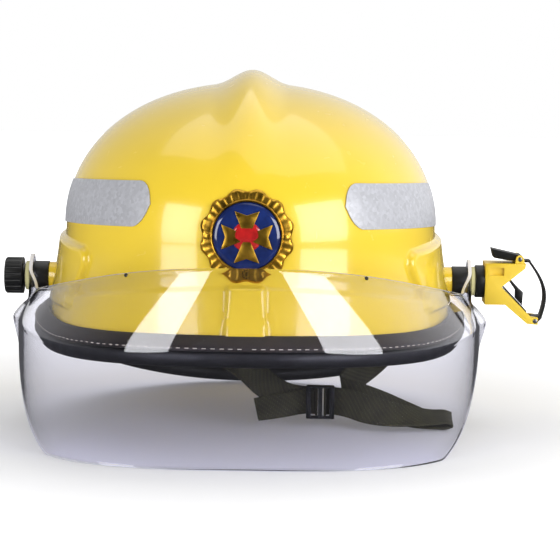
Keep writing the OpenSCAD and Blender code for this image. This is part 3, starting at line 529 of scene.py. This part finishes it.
def woven(name, colour, pitch):
    """Woven nylon webbing: cross ribs at its real pitch, with painted shade that darkens the gaps between
    them, and a soft sheen.
    """
    sheen = {"Sheen Weight": 0.04, "Sheen Roughness": 0.4}
    made, _ = started(name, colour, 0.75, IOR=1.5, **sheen)
    tree = made.node_tree
    flat = add(tree, "UVMap", {"uv_map": "UVMap"})
    # Weft ribs lie across the strap, one each pitch, under the warp's slanting floats
    weft = add(tree, "TexWave", {"Scale": 0.314 / pitch, "bands_direction": "Y"}, {"Vector": flat})
    warp = add(tree, "TexWave", {"Scale": 0.2 / pitch, "bands_direction": "DIAGONAL"}, {"Vector": flat})
    crossed = {0: weft.outputs["Fac"], 1: warp.outputs["Fac"]}
    both = add(tree, "Math", {"operation": "MULTIPLY"}, crossed)
    faded = add(tree, "TexNoise", {"Scale": 90.0, "Detail": 3.0}, {"Vector": flat})
    # The colour is painted shade, darker in the gaps between the ribs and lighter on their tops, with a
    # random fading over it
    painted_gap_shade_and_fading = add(tree, "Math", {"operation": "MULTIPLY_ADD", 1: 0.6}, {0: both, 2: faded})
    return driven(made, colour, (painted_gap_shade_and_fading, (0.35, 0.6), (1.0, 1.35)), dents=(both, 0.6, 0.0004))


def gilt_metal(name, colour):
    """Stamped and gilded brass: warm, bright on the raised work and duller in the hollows."""
    made, over = started(name, colour, 0.25, Metallic=1.0)
    tarnish = over("TexNoise", Scale=140.0, Detail=5.0)
    ends = {"To Min": 0.18, "To Max": 0.42}
    return driven(made, colour, (tarnish, (0.35, 0.55), (0.6, 1)), (tarnish, ends), (tarnish, 0.2, 0.0002))


def vitreous(name, colour):
    """Fired enamel: deep glassy colour that pools a little unevenly."""
    coat = {"Coat Weight": 0.8, "Coat Roughness": 0.05}
    made, over = started(name, colour, 0.12, IOR=1.52, **coat)
    pool = over("TexNoise", Scale=160.0, Detail=2.0)
    return driven(made, colour, (pool, (0.35, 0.75), (0.7, 1.3)), dents=(pool, 0.08, 0.0002))


def prismatic(name, colour):
    """Micro-prismatic reflective sheet: pale silver, with a cell grid drawn 2 mm wide so that it shows."""
    made, over = started(name, colour, 0.32, IOR=1.5, Metallic=0.35)
    cells = over("TexVoronoi", Scale=520.0, feature="DISTANCE_TO_EDGE")
    glint = over("TexVoronoi", Scale=520.0).outputs["Color"]
    ends = {"From Max": 0.4, "To Min": 0.5, "To Max": 0.28}
    return driven(made, colour, (glint, (0.1, 0.94), (0.9, 1.18)), (cells, ends), (cells, 0.3, 0.0001))


def turned_steel(name, colour):
    """Zinc-plated steel: bright grey with fine turning marks."""
    made, over = started(name, colour, 0.32, Metallic=1.0)
    marks = over("TexNoise", Scale=900.0, Detail=2.0)
    stain = over("TexNoise", Scale=120.0, Detail=3.0)
    return driven(made, colour, (stain, (0.35, 0.7), (0.65, 1)), (marks, {"To Min": 0.24, "To Max": 0.44}))


def pressed_foam(name, colour):
    """Charcoal impact foam: matt beads about 3 mm across, pressed flat at the skin."""
    made, over = started(name, colour, 0.85, IOR=1.45)
    beads = over("TexVoronoi", Scale=330.0, feature="DISTANCE_TO_EDGE")
    return driven(made, colour, (beads, (0.0, 0.6), (0.12, 1)), dents=(beads, 0.5, 0.0004))


def clear_sheet(name, colour):
    """Clear polycarbonate with a hard coat: faint grey tint, mirror gloss, and fine hairlines in it."""
    made, over = started(name, colour, 0.02, IOR=1.585, **{"Transmission Weight": 1.0})
    tree = made.node_tree
    hairs = over("TexNoise", Scale=70.0, Detail=9.0, Distortion=2.0)
    worn = {"From Min": 0.62, "From Max": 0.8, "To Min": 0.015, "To Max": 0.07}
    # Light from the lamps passes straight through, as it does through a thin clear sheet
    lamps = add(tree, "LightPath").outputs["Is Shadow Ray"]
    open_air = add(tree, "BsdfTransparent", {"Color": (*scaled(colour, 0.97), 1)})
    mix = add(tree, "MixShader", links={0: lamps, 1: tree.nodes["Principled BSDF"], 2: open_air})
    tree.links.new(mix.outputs[0], tree.nodes["Material Output"].inputs["Surface"])
    return driven(made, colour, gloss=(hairs, worn))


def finish_of(name):
    """The helmet's finishes, each made once."""
    if name in bpy.data.materials:
        return bpy.data.materials[name]
    c = bpy.context.scene.helmet_colours
    pitch = bpy.context.scene.helmet_sizes.webbing_pitch
    makers = {
        "Lacquered_composite": (shell_lacquer, c.shell),
        "Clamp_moulded_nylon": (moulded, c.clamp, 0.35, 0.05),
        "Rim_leather": (grained_leather, c.leather),
        "Sweatband_leather": (grained_leather, linear("#3A2A20"), 0.55, 0.0016),
        "Hem_rubber": (soft_rubber, c.hem),
        "Jaw_rubber": (soft_rubber, linear("#101011"), 0.5),
        "Waxed_thread": (moulded, c.thread, 0.6, 0.08, 0.0004, 0.3),
        "Chin_webbing": (woven, c.chin, pitch),
        "Cradle_webbing": (woven, linear("#17181A"), pitch),
        "Cradle_nylon": (moulded, c.cradle, 0.5),
        "Black_nylon": (moulded, c.black, 0.42),
        "Pale_washer_nylon": (moulded, c.pale, 0.4),
        "Reflective_prismatic_sheet": (prismatic, c.sheet),
        "Badge_gilded_brass": (gilt_metal, c.gilt),
        "Blue_enamel": (vitreous, c.enamel),
        "Red_enamel": (vitreous, c.red),
        "Zinc_plated_steel": (turned_steel, linear("#B4B6BA")),
        "Impact_foam": (pressed_foam, linear("#2A2B2E")),
        "Visor_clear_polycarbonate": (clear_sheet, c.visor),
        # The visor's cut edge is pale: partly the frosting of the cut, partly a painted highlight along the
        # rim
        "Visor_cut_edge": (moulded, linear("#E9E9F0"), 0.35, 0.05),
    }
    make, colour, *settings = makers[name]
    return make(name, tuple(colour), *settings)


# Operators, one for each piece or group of like pieces


class HELMET_OT_shell(bpy.types.Operator):
    """Mould the outer shell with its crest, band, ear panels and front rib"""

    bl_idname = "helmet.shell"
    bl_label = "Outer shell"

    def execute(self, context):
        # Columns lie closer where the rib and the panels' edges run down the wall
        angles, t = [0.0], 0.0
        while t < 180:
            t += 0.6 if t < 8 or 38 <= t < 54 or 101 <= t < 110 else 2.0
            angles.append(min(t, 180.0))
        angles += [360 - a for a in reversed(angles[:-1])]
        rows = [k / 44 for k in range(45)] + [1 + k / 60 for k in range(1, 61)]
        piece = shaped_grid(len(angles) - 1, len(rows) - 1, lambda i, j: shell_point(angles[i], rows[j]))
        in_edit(piece, merge(2e-5), outward)
        modify(piece, "SOLIDIFY", thickness=WALL * MM, offset=-1)
        smooth(piece, 60)
        finish(piece, "shell_moulding", "Lacquered_composite", "outer_shell")
        carried("Lacquered_composite", 0.0005, "knob_side_boss", "clamp_side_boss")
        return {"FINISHED"}


class HELMET_OT_rim(bpy.types.Operator):
    """Sew the leather skirt and the rolled hem round the shell's lower edge"""

    bl_idname = "helmet.rim"
    bl_label = "Rim skirt and hem"

    def execute(self, context):
        sizes = context.scene.helmet_sizes
        gap, seam_out, seam_drop = 1.8, 10.55, 1.5

        def skirt(t):
            r, z = rim_r(t) + gap, rim_z(t)
            return [
                (r + out, z + up)
                for out, up in (
                    (0.3, 1.0), (0.3, 4.2), (0.5, 5.1), (1.0, 5.5), (1.6, 5.4), (3.2, 4.2), (5.4, 2.4),
                    (7.4, 0.8), (8.7, -0.6), (9.3, -1.8), (9.2, -3.0), (6.4, -3.0), (4.2, -1.6), (1.6, -0.3),
                )
            ]

        piece = smooth(shaped_ring(256, skirt), 60)
        finish(piece, "rim_leather_skirt", "Rim_leather", "rim_skirt")

        def hem(t):
            wide, tall = 2.8, 4.7
            r, z = rim_r(t) + gap + HEM_OUT - wide, rim_z(t) - HEM_DROP + tall
            # The roll puckers a little at every stitch
            wide += 0.12 * sin(t * 64)
            return [(r + wide * cos(22.5 * k), z + tall * sin(22.5 * k)) for k in range(16)]

        piece = smooth(shaped_ring(256, hem), 60)
        finish(piece, "rim_rolled_hem", "Hem_rubber", "hem_piping")

        # One stitch is modelled and copied along the seam above the hem
        def seam(t):
            r = rim_r(t) + seam_out
            return Vector((r * sin(t), -r * cos(t), rim_z(t) - seam_drop))

        marks, run, t = [], 0.0, 0.0
        pitch = sizes.stitch_pitch / MM
        last = seam(0)
        while t < 360:
            t += 0.1
            here = seam(t)
            run += (here - last).length
            last = here
            if run >= pitch:
                marks.append(t)
                run -= pitch
        half = 0.0014
        first = place(
            fresh(
                bpy.ops.mesh.primitive_cylinder_add,
                vertices=sizes.stitch_sides,
                radius=sizes.thread,
                depth=2 * half,
                end_fill_type="TRIFAN",
                rotation=(0, math.radians(90), 0),
            )
        )
        bevel(first, sizes.thread * 0.5)
        stitches = [first]
        base = [corner.co.copy() for corner in first.data.vertices]
        while len(stitches) < len(marks):
            copy = first.copy()
            copy.data = first.data.copy()
            context.scene.collection.objects.link(copy)
            stitches.append(copy)
        for stitch, mark in zip(stitches, marks):
            ahead = (seam(mark + 0.5) - seam(mark - 0.5)).normalized()
            out = Vector((sin(mark), -cos(mark), 0.6)).normalized()
            out = (out - out.dot(ahead) * ahead).normalized()
            up = ahead.cross(out)
            for corner, co in zip(stitch.data.vertices, base):
                arch = 0.00025 * (1 - (co.x / half) ** 2)
                corner.co = seam(mark) * MM + ahead * co.x + out * (co.y + arch) + up * co.z
        finish(smooth(joined(stitches), 50), "rim_stitches", "Waxed_thread", "rim_skirt", ())
        return {"FINISHED"}


class HELMET_OT_patches(bpy.types.Operator):
    """Lay the reflective patches on the dome"""

    bl_idname = "helmet.patches"
    bl_label = "Reflective patches"

    def execute(self, context):
        near, length, high, middle = 20.0, 101.0, 27.0, DOME_BASE + 16.2
        rise, lean = 5.6, 6.0
        corner_long, corner_high = 5.0, 9.5
        for node, way in (("front_patches", -1), ("rear_patches", 1)):
            pair = []
            for side in (-1, 1):

                def point(i, j):
                    # The columns crowd towards the ends, which are drawn in to round corners
                    u, v = sin(90 * (i / 40 - 1)), j / 12 - 1
                    turned = max(0.0, 1 - length / 2 * (1 - abs(u)) / corner_long)
                    drawn = corner_high * (1 - math.sqrt(1 - turned**2))
                    up = (high / 2 - drawn) * v
                    # The far end leans with the dome
                    along = near + (length - lean * max(0, 2 * up / high)) / 2 * (1 + u)
                    return (0, way * along, middle + rise * (along - near) / length + up)

                sheet = in_edit(shaped_grid(80, 24, point), merge(2e-6))
                drape(sheet, (0, side), 0.95)
                in_edit(sheet, outward)
                # The film's own wall goes inwards, down to the adhesive
                faces = sheet.data.polygons
                if sum(face.normal.x * side > 0 for face in faces) * 2 < len(faces):
                    in_edit(sheet, bpy.ops.mesh.flip_normals)
                modify(sheet, "SOLIDIFY", thickness=0.0006, offset=-1)
                bevel(sheet, 0.0002)
                pair.append(sheet)
            piece = smooth(joined(pair), 40)
            finish(piece, "reflective_" + node, "Reflective_prismatic_sheet", node)
        return {"FINISHED"}


class HELMET_OT_badge(bpy.types.Operator):
    """Build the plain gilt badge with its enamel field and raised cross"""

    bl_idname = "helmet.badge"
    bl_label = "Front badge"

    def execute(self, context):
        centre = 133.0

        def disc(rings, around, radius, height):
            """A round plate: radius and height off the shell are functions of the angle and the share out."""
            made = fresh(bpy.ops.mesh.primitive_circle_add, vertices=around)
            mesh = bmesh.new()

            def corner_at(a, f):
                r = radius(a, f)
                return mesh.verts.new((r * sin(a), -height(a, f), centre + r * cos(a)))

            hub = mesh.verts.new((0, -height(0, 0), centre))
            shares = [k / rings for k in range(1, rings + 1)]
            rows = [[corner_at(360 * i / around, f) for i in range(around)] for f in shares]
            for i in range(around):
                j = (i + 1) % around
                mesh.faces.new((hub, rows[0][i], rows[0][j]))
                for k in range(rings - 1):
                    mesh.faces.new((rows[k][i], rows[k + 1][i], rows[k + 1][j], rows[k][j]))
            for corner in mesh.verts:
                corner.co *= MM
            mesh.to_mesh(made.data)
            mesh.free()
            return in_edit(drape(made, (1, -1), 0.3), outward)

        def plate(a, f):
            if f > 0.999:
                return 0.0
            beads = ease((f - 0.72) / 0.08) * (0.6 + 0.4 * cos(36 * a))
            return 1.3 + 0.5 * beads - 0.2 * ease((f - 0.93) / 0.06)

        def bead(a, f):
            return 1.5 + 1.9 * sin(180 * min(1, max(0, f))) * (0.9 + 0.1 * cos(a * 32))

        def domed(height, rise, edge):
            return lambda a, f: height + rise * (1 - f * f) if f < 0.999 else edge

        base = disc(26, 144, lambda a, f: (28 - 2 * (0.5 + 0.5 * cos(12 * a))) * f, plate)
        finish(smooth(base, 50), "badge_gilt_plate", "Badge_gilded_brass", "badge_plate")
        field = disc(12, 96, lambda a, f: 20 * f, domed(2.5, 0.35, 1.2))
        finish(smooth(field, 50), "badge_enamel_field", "Blue_enamel", "badge_field")
        # The rim starts as a disc, and its middle is taken out
        rim = disc(10, 96, lambda a, f: 19.4 + 2.0 * f, bead)
        mesh = bmesh.new()
        mesh.from_mesh(rim.data)
        inner = [v for v in mesh.verts if math.hypot(v.co.x, v.co.z - centre * MM) < 0.015]
        bmesh.ops.delete(mesh, geom=inner, context="VERTS")
        mesh.to_mesh(rim.data)
        mesh.free()
        in_edit(rim, outward)
        finish(smooth(rim, 60), "badge_beaded_rim", "Badge_gilded_brass", "badge_plate", ())
        red = disc(8, 64, lambda a, f: 9 * f, domed(3.3, 0.3, 2.4))
        finish(smooth(red, 50), "badge_red_centre", "Red_enamel", "badge_field", ())
        carried("Badge_gilded_brass", 0.0002, "badge_cross", "badge_studs", angle=30)
        return {"FINISHED"}


class HELMET_OT_cradle(bpy.types.Operator):
    """Build the liner, headband, crown straps, hangers and ratchet"""

    bl_idname = "helmet.cradle"
    bl_label = "Liner and cradle"

    def execute(self, context):
        carried("Impact_foam", 0, "impact_liner", angle=50)
        carried("Cradle_nylon", 0.0003, "headband", "strap_hangers", "ratchet_housing", "ratchet_cover")
        carried("Cradle_nylon", 0.0003, "rack_upper", "rack_lower")
        carried("Black_nylon", 0.00015, "ratchet_pinion")
        carried("Black_nylon", 0.0006, "ratchet_knob")
        carried("Zinc_plated_steel", 0.0002, "hanger_rivets", "chin_anchors", "chin_rivets")

        # The sweatband is foam under leather, so it swells between its edges
        pad_low, pad_tall, pad_end = 77.4, 31.2, 29

        def pad(i, j):
            t = -107 + 214 * i / 120
            r = head_r(t) - 2.3
            return (r * sin(t), min(-r * cos(t), pad_end), pad_low + pad_tall * j / 24)

        piece = shaped_grid(120, 24, pad)
        in_edit(piece, outward)
        modify(piece, "SOLIDIFY", thickness=0.0020, offset=1)
        for corner in piece.data.vertices:
            x, y, z = corner.co / MM
            if math.hypot(x, y) < head_r(math.degrees(math.atan2(x, -y))) - 3.2:
                share = min(1, max(0, (z - pad_low) / pad_tall))
                puff = 0.35 * sin(180 * share) * (0.85 + 0.15 * cos(y * 24))
                corner.co -= Vector((x, y, 0)).normalized() * puff * MM
        smooth(in_edit(piece, outward), 60)
        finish(piece, "sweatband_leather", "Sweatband_leather", "sweatband")

        hang_z, top_z = 112, 184
        straps = []
        for k, t in enumerate((30, 90, 150)):
            path = []
            for i in range(33):
                a = -90 + 180 * i / 32
                r = (head_r(t) + 2.6) * sin(a)
                rise = top_z + k * 1.9 - hang_z
                path.append((r * sin(t), -r * cos(t), hang_z + rise * abs(cos(a)) ** 0.9))
            straps.append(webbing(path, [(cos(t), sin(t), 0)] * 33, 20, 1.3, 2))
        finish(joined(straps), "crown_webbing", "Cradle_webbing", "crown_straps")

        # The crown pad is crowned foam under the straps, drawn in at its edge
        piece = fresh(bpy.ops.mesh.primitive_uv_sphere_add, segments=64, ring_count=24, radius=1)
        reach, half, strap_reach, strap_gap = 33.8, 2.5, 85.6, 0.95
        for corner in piece.data.vertices:
            x, y, z = corner.co
            flat = math.hypot(x, y)
            r = reach * flat**0.55 if flat > 0 else 0
            scale = r / flat if flat > 0 else 0
            middle = hang_z + (top_z - hang_z) * (1 - (r / strap_reach) ** 2) ** 0.45 - strap_gap - half
            thick = half * (1 - flat**6) ** 0.5 * (0.94 + 0.06 * cos(r * 26))
            z = middle + math.copysign(thick, z) if abs(z) > 1e-6 else middle
            corner.co = Vector((x * scale, y * scale, z)) * MM
        smooth(in_edit(piece, outward), 60)
        finish(piece, "crown_foam_pad", "Sweatband_leather", "crown_pad")
        return {"FINISHED"}


class HELMET_OT_chin_strap(bpy.types.Operator):
    """Thread the chin strap through its buckle"""

    bl_idname = "helmet.chin_strap"
    bl_label = "Chin strap"

    def execute(self, context):
        def wall_x(y, z):
            r0 = wall_r(90 + math.degrees(math.asin(y / DOME_HALF)), z)
            r = wall_r(90 + math.degrees(math.asin(y / r0)), z)
            return math.sqrt(r * r - y * y)

        def top(side):
            return [(side * (wall_x(23, z) - 6.4), 23, z) for z in (97, 90, 81)]

        back, low = -26.0, 17.5
        left = top(-1) + [
            (-101, 15, 66), (-72, -1, 60), (-42, -12, 54), (-18, -17, 47), (-2, -20, 38),
            (10, -22.5, 27.5), (22, -24.2, 20.5), (32, back + 1.9, 18), (41.1, back + 2.2, low),
            (43.5, -25.4, low), (43.5, -30.6, low),
        ]
        left_across = [(0.18, 1, 0)] * 3 + [
            (0, 1, 0.5), (0.2, 0.8, 0.9), (0.3, 0.5, 1), (0.3, 0.4, 1), (0.3, 0.3, 1), (0.3, 0.1, 1)
        ] + [(0, 0, 1)] * 5
        right = top(1) + [
            (101, 22, 63), (91, 15, 47), (76, 3, 35), (64, -9, 27), (60.5, -15.5, 23.5),
            (64, -20.5, 21.6), (72, -22, 19.5), (87, -24, 14.8), (104, -24.5, 8.8), (120, -24.4, 4.9),
            (127.5, -25, 4), (131.5, -26, 6), (127.5, -27.4, 8.2), (118, -30, 8.6), (105, -34.5, 9.8),
            (90, -37, 11.6), (76, -34.5, 13.8), (64, -28.6, low - 1), (55, back, low),
            (50.9, back, low), (49.1, -28, low), (49.1, -30.6, low),
        ]
        right_across = [(-0.18, 1, 0)] * 3 + [
            (0, 1, 0.4), (0.2, 0.8, 0.7), (0.2, 0.5, 0.9), (0.1, 0.25, 1), (0, 0.15, 1), (0, 0.15, 1),
            (0, 0.2, 1), (0, 0.4, 0.9), (0, 0.65, 0.76), (0, 0.9, 0.4), (0, 0.95, 0.3), (0, 0.95, 0.3),
            (0, 0.95, 0.3), (0, 0.93, 0.36), (0, 0.85, 0.55), (0, 0.6, 0.8), (0, 0.3, 0.95), (0, 0.15, 1)
        ] + [(0, 0, 1)] * 4
        tail = [
            (41.3, -30.6, low), (41.3, -27.4, low), (40.7, back, low), (36, back, 16.9),
            (30, back - 0.3, 16), (18, -28, 14), (5, -29.5, 11.8),
        ]
        tail_across = [(0, 0, 1)] * 5 + [(0, 0.3, 1), (0, 0.55, 0.8)]
        for name, node, path, across, width in (
            ("left", "chin_strap_left", left, left_across, 18),
            ("right", "chin_strap_right", right, right_across, 18),
            ("tail", "chin_tail", tail, tail_across, 16),
        ):
            piece = webbing(path, across, width, 1.6, 6)
            finish(piece, f"chin_webbing_{name}", "Chin_webbing", node)
        carried("Black_nylon", 0.0006, "chin_buckle")
        return {"FINISHED"}


# Shape of the visor, in millimetres

VISOR_HALF, VISOR_FRONT, VISOR_T, VISOR_TOP = 148.0, 177.0, 2.4, 118.0
EAR_R, EAR_OUT, NOTCH_Y, NOTCH_Z = 14.0, 140.6 + VISOR_T - 0.05, -40.0, PIVOT_Z - 4.5
CORNER_Y, WAIST, MIDDLE = -130.0, 68.0, 66.0


def top_edge(y):
    """Height of the visor's top edge."""
    if y < NOTCH_Y:
        u = (NOTCH_Y - y) / (VISOR_FRONT + NOTCH_Y)
        return NOTCH_Z + (VISOR_TOP - NOTCH_Z) * u ** (1.25 + 0.7 * u)
    return NOTCH_Z + (PIVOT_Z + EAR_R - NOTCH_Z) * ((y - NOTCH_Y) / -NOTCH_Y) ** 1.1


def low_edge(y):
    """Height of the visor's lower edge."""
    return 0.0 if y < CORNER_Y else (PIVOT_Z - EAR_R) * (y - CORNER_Y) / -CORNER_Y


def lens_point(t, v):
    """A point of the visor at angle t from the front and height v from its lower edge to its top edge."""
    y0 = -cos(t) * VISOR_FRONT
    z = low_edge(y0) + v * (top_edge(y0) - low_edge(y0))
    rise = max(0.0, (z - WAIST) / (VISOR_TOP - WAIST))
    fall = max(0.0, (WAIST - z) / WAIST) ** 2
    half = VISOR_HALF - 37 * rise**1.35 - 6 * fall
    above = (z - MIDDLE) / (VISOR_TOP - MIDDLE)
    reach = VISOR_FRONT - (4 * above**2 if z > MIDDLE else 8 * ((MIDDLE - z) / MIDDLE) ** 2)
    power = 2.3 - 0.3 * min(1, rise) + 0.8 * fall
    r = oval(t, half, reach, reach, power)
    x, y = r * sin(t), -r * cos(t)
    u = ease((y + 38) / 27)
    x += math.copysign(u * (EAR_OUT - half), x) if abs(t) > 1 else 0
    return (x, y, z)


class HELMET_OT_visor(bpy.types.Operator):
    """Form the clear visor with its ears and stops"""

    bl_idname = "helmet.visor"
    bl_label = "Visor"

    def execute(self, context):
        columns, rows, ear_columns = 160, 40, 10

        def point(i, j):
            k = i - ear_columns
            if 0 <= k <= columns:
                f = 2 * k / columns - 1
                return lens_point(90 * math.copysign(abs(f) ** 0.85, f), j / rows)
            # Behind the pivots the sheet ends in the round back of an ear
            side = -1 if k < 0 else 1
            f = (-k if k < 0 else k - columns) / ear_columns
            y, half = EAR_R * sin(90 * f), EAR_R * cos(90 * f)
            return (side * EAR_OUT, y, PIVOT_Z + half * (2 * j / rows - 1))

        outer = shaped_grid(columns + 2 * ear_columns, rows, point)
        in_edit(outer, merge(2e-5), outward)
        # The wall goes inwards, towards the head
        mid = min(outer.data.polygons, key=lambda f: (f.center - Vector((0, -0.175, 0.05))).length)
        if mid.normal.y > 0:
            in_edit(outer, bpy.ops.mesh.flip_normals)
        # The second finish paints the cut rim pale, partly as its frosting and partly as a painted highlight
        # along the sheet's edge
        sheets = ("Visor_clear_polycarbonate", "Visor_cut_edge")
        for each in sheets:
            outer.data.materials.append(finish_of(each))
        modify(outer, "SOLIDIFY", thickness=(VISOR_T - 0.1) * MM, offset=-1, material_offset_rim=1)
        bevel(outer, 0.0004, 2)
        smooth(outer, 50)
        rims = [f.material_index for f in outer.data.polygons]
        finish(outer, "visor_sheet", sheets[0], "visor_lens", more=sheets[1:])
        outer.data.polygons.foreach_set("material_index", rims)
        carried("Black_nylon", 0.0004, "visor_stops")
        return {"FINISHED"}


class HELMET_OT_pivots(bpy.types.Operator):
    """Finish the studs, spacers, washers and knurled knob"""

    bl_idname = "helmet.pivots"
    bl_label = "Pivots"

    def execute(self, context):
        carried("Black_nylon", 0.0004, "spacers")
        carried("Pale_washer_nylon", 0.0004, "knob_side_washer", "clamp_side_washer")
        carried("Zinc_plated_steel", 0.0003, "knob_side_stud", "clamp_side_stud", "stud_nuts")
        carried("Black_nylon", 0.0004, "clamping_knob")
        return {"FINISHED"}


class HELMET_OT_torch_clamp(bpy.types.Operator):
    """Finish the torch clamp, its strap and its lever"""

    bl_idname = "helmet.torch_clamp"
    bl_label = "Torch clamp"

    def execute(self, context):
        carried("Clamp_moulded_nylon", 0.0005, "clamp_body", "clamp_catch")
        carried("Black_nylon", 0.0004, "clamp_collar", "clamp_lever", "clamp_spring")
        carried("Jaw_rubber", 0.0003, "clamp_jaw_pad", "clamp_strap")
        carried("Zinc_plated_steel", 0.0003, "clamp_strap_pin", "clamp_lever_pin")
        return {"FINISHED"}


class HELMET_OT_studio(bpy.types.Operator):
    """Set up the pale floor, the soft light and the camera"""

    bl_idname = "helmet.studio"
    bl_label = "Studio"

    def execute(self, context):
        scene = context.scene
        scene.view_settings.view_transform = "Standard"
        floor = place(fresh(bpy.ops.mesh.primitive_plane_add, size=8, location=(0, 0, -0.0002)))
        floor.name = "studio_floor"
        made, over = started("Studio_paper", (0.86, 0.86, 0.87), 0.7, **{"Emission Color": (1, 1, 1, 1)})
        tree = made.node_tree
        body = tree.nodes["Principled BSDF"]
        # The paper glows, painted light that is faint near the helmet and turns it white far away, and in
        # reflections it is painted as the dim glow of a darker room in front
        away = over("VectorMath", operation="LENGTH").outputs["Value"]
        spread = {"From Min": 0.2, "From Max": 0.7, "To Min": 0.13, "To Max": 1.0}
        glow = add(tree, "MapRange", spread, {"Value": away})
        fibre = over("TexNoise", Scale=30.0, Detail=4.0)
        greys = {"stops": [(0.3, (0.85, 0.85, 0.86)), (0.7, (0.87, 0.87, 0.88))]}
        paper = add(tree, "ValToRGB", greys, {"Fac": fibre})
        dull = add(tree, "Emission", {"Color": (0.93, 0.93, 1, 1), "Strength": 0.1})
        depth = add(tree, "LightPath").outputs["Glossy Depth"]
        mirrored = add(tree, "Math", {"operation": "GREATER_THAN", 1: 0.5}, {0: depth})
        mix = add(tree, "MixShader", links={0: mirrored, 1: body, 2: dull})
        tree.links.new(glow.outputs[0], body.inputs["Emission Strength"])
        tree.links.new(paper.outputs[0], body.inputs["Base Color"])
        tree.links.new(mix.outputs[0], tree.nodes["Material Output"].inputs["Surface"])
        floor.data.materials.append(made)

        # The room is white behind the helmet and grey behind the camera, and the camera sees plain white
        world = bpy.data.worlds.new("Studio_white")
        scene.world = world
        world.use_nodes = True
        sky = world.node_tree
        sky.nodes.clear()
        apart = add(sky, "SeparateXYZ", links={"Vector": add(sky, "TexCoord").outputs["Generated"]})
        spread = {"From Min": -0.5, "From Max": 0.5, "To Min": 0.07, "To Max": 0.95}
        room = add(sky, "MapRange", spread, {"Value": apart.outputs["Y"]})
        spread = {"From Min": -0.7, "From Max": 0.5, "To Min": 0.45, "To Max": 1.05}
        dim = add(sky, "MapRange", spread, {"Value": apart.outputs["X"]})
        level = add(sky, "Math", {"operation": "MULTIPLY"}, {0: room, 1: dim})
        lit = add(sky, "Background", {"Color": (1, 1, 1, 1)}, {"Strength": level})
        plain = add(sky, "Background", {"Color": (1, 1, 1, 1), "Strength": 1.0})
        seen = add(sky, "LightPath").outputs["Is Camera Ray"]
        both = add(sky, "MixShader", links={0: seen, 1: lit, 2: plain})
        add(sky, "OutputWorld", links={"Surface": both})

        def lamp(name, place_at, width, height, power):
            light = bpy.data.lights.new(name, "AREA")
            light.shape, light.size, light.size_y, light.energy = "RECTANGLE", width, height, power
            holder = bpy.data.objects.new(name, light)
            scene.collection.objects.link(holder)
            holder.location = place_at
            aim = Vector((0, 0, 0.1)) - Vector(place_at)
            holder.rotation_euler = aim.to_track_quat("-Z", "Y").to_euler()

        lamp("softbox_left", (-1.0, -1.1, 0.42), 0.66, 0.8, 9)
        lamp("softbox_right", (1.12, -1.05, 0.5), 0.95, 0.9, 16)
        lamp("softbox_top", (0.1, 0.1, 1.5), 1.9, 1.5, 8)

        azimuth, elevation, distance = 0.2, 6.5, 1.4
        target = Vector((0.0192, 0, 0.092))
        back = Vector((sin(azimuth) * cos(elevation), -cos(azimuth) * cos(elevation), sin(elevation)))
        camera = bpy.data.cameras.new("photo_camera")
        # The photo is 560 px wide and its focal length is 2154 px
        camera.angle = 2 * math.atan(560 / 2 / 2154)
        camera.dof.use_dof = False
        holder = bpy.data.objects.new("photo_camera", camera)
        scene.collection.objects.link(holder)
        aimed = (-back).to_track_quat("-Z", "Y").to_matrix().to_4x4()
        tilted = Matrix.Rotation(math.radians(0.75), 4, "Z")
        holder.matrix_world = Matrix.Translation(target + back * distance) @ aimed @ tilted
        scene.camera = holder
        return {"FINISHED"}


PIECES = (
    HELMET_OT_studio, HELMET_OT_shell, HELMET_OT_rim, HELMET_OT_patches, HELMET_OT_badge,
    HELMET_OT_cradle, HELMET_OT_chin_strap, HELMET_OT_visor, HELMET_OT_pivots, HELMET_OT_torch_clamp,
)


class HELMET_PT_panel(bpy.types.Panel):
    """Lists the helmet's pieces, sizes and colours"""

    bl_idname = "HELMET_PT_panel"
    bl_label = "Fire helmet"
    bl_space_type = "VIEW_3D"
    bl_region_type = "UI"
    bl_category = "Helmet"

    def draw(self, context):
        for group in (context.scene.helmet_sizes, context.scene.helmet_colours):
            box = self.layout.box()
            for name in group.bl_rna.properties.keys():
                if name not in ("rna_type", "name"):
                    box.prop(group, name)
        for piece in PIECES:
            self.layout.operator(piece.bl_idname)


CLASSES = (HelmetSizes, HelmetColours, *PIECES, HELMET_PT_panel)


def register():
    """Registers the classes and hangs the settings on the scene."""
    for kind in CLASSES:
        bpy.utils.register_class(kind)
    bpy.types.Scene.helmet_sizes = PointerProperty(type=HelmetSizes)
    bpy.types.Scene.helmet_colours = PointerProperty(type=HelmetColours)


def unregister():
    """Takes the settings and the classes away again."""
    del bpy.types.Scene.helmet_colours
    del bpy.types.Scene.helmet_sizes
    for kind in reversed(CLASSES):
        bpy.utils.unregister_class(kind)


def main():
    """Makes every piece in order."""
    register()
    for piece in PIECES:
        getattr(bpy.ops.helmet, piece.bl_idname.split(".")[1])()
    deselect()


if __name__ == "__main__":
    main()
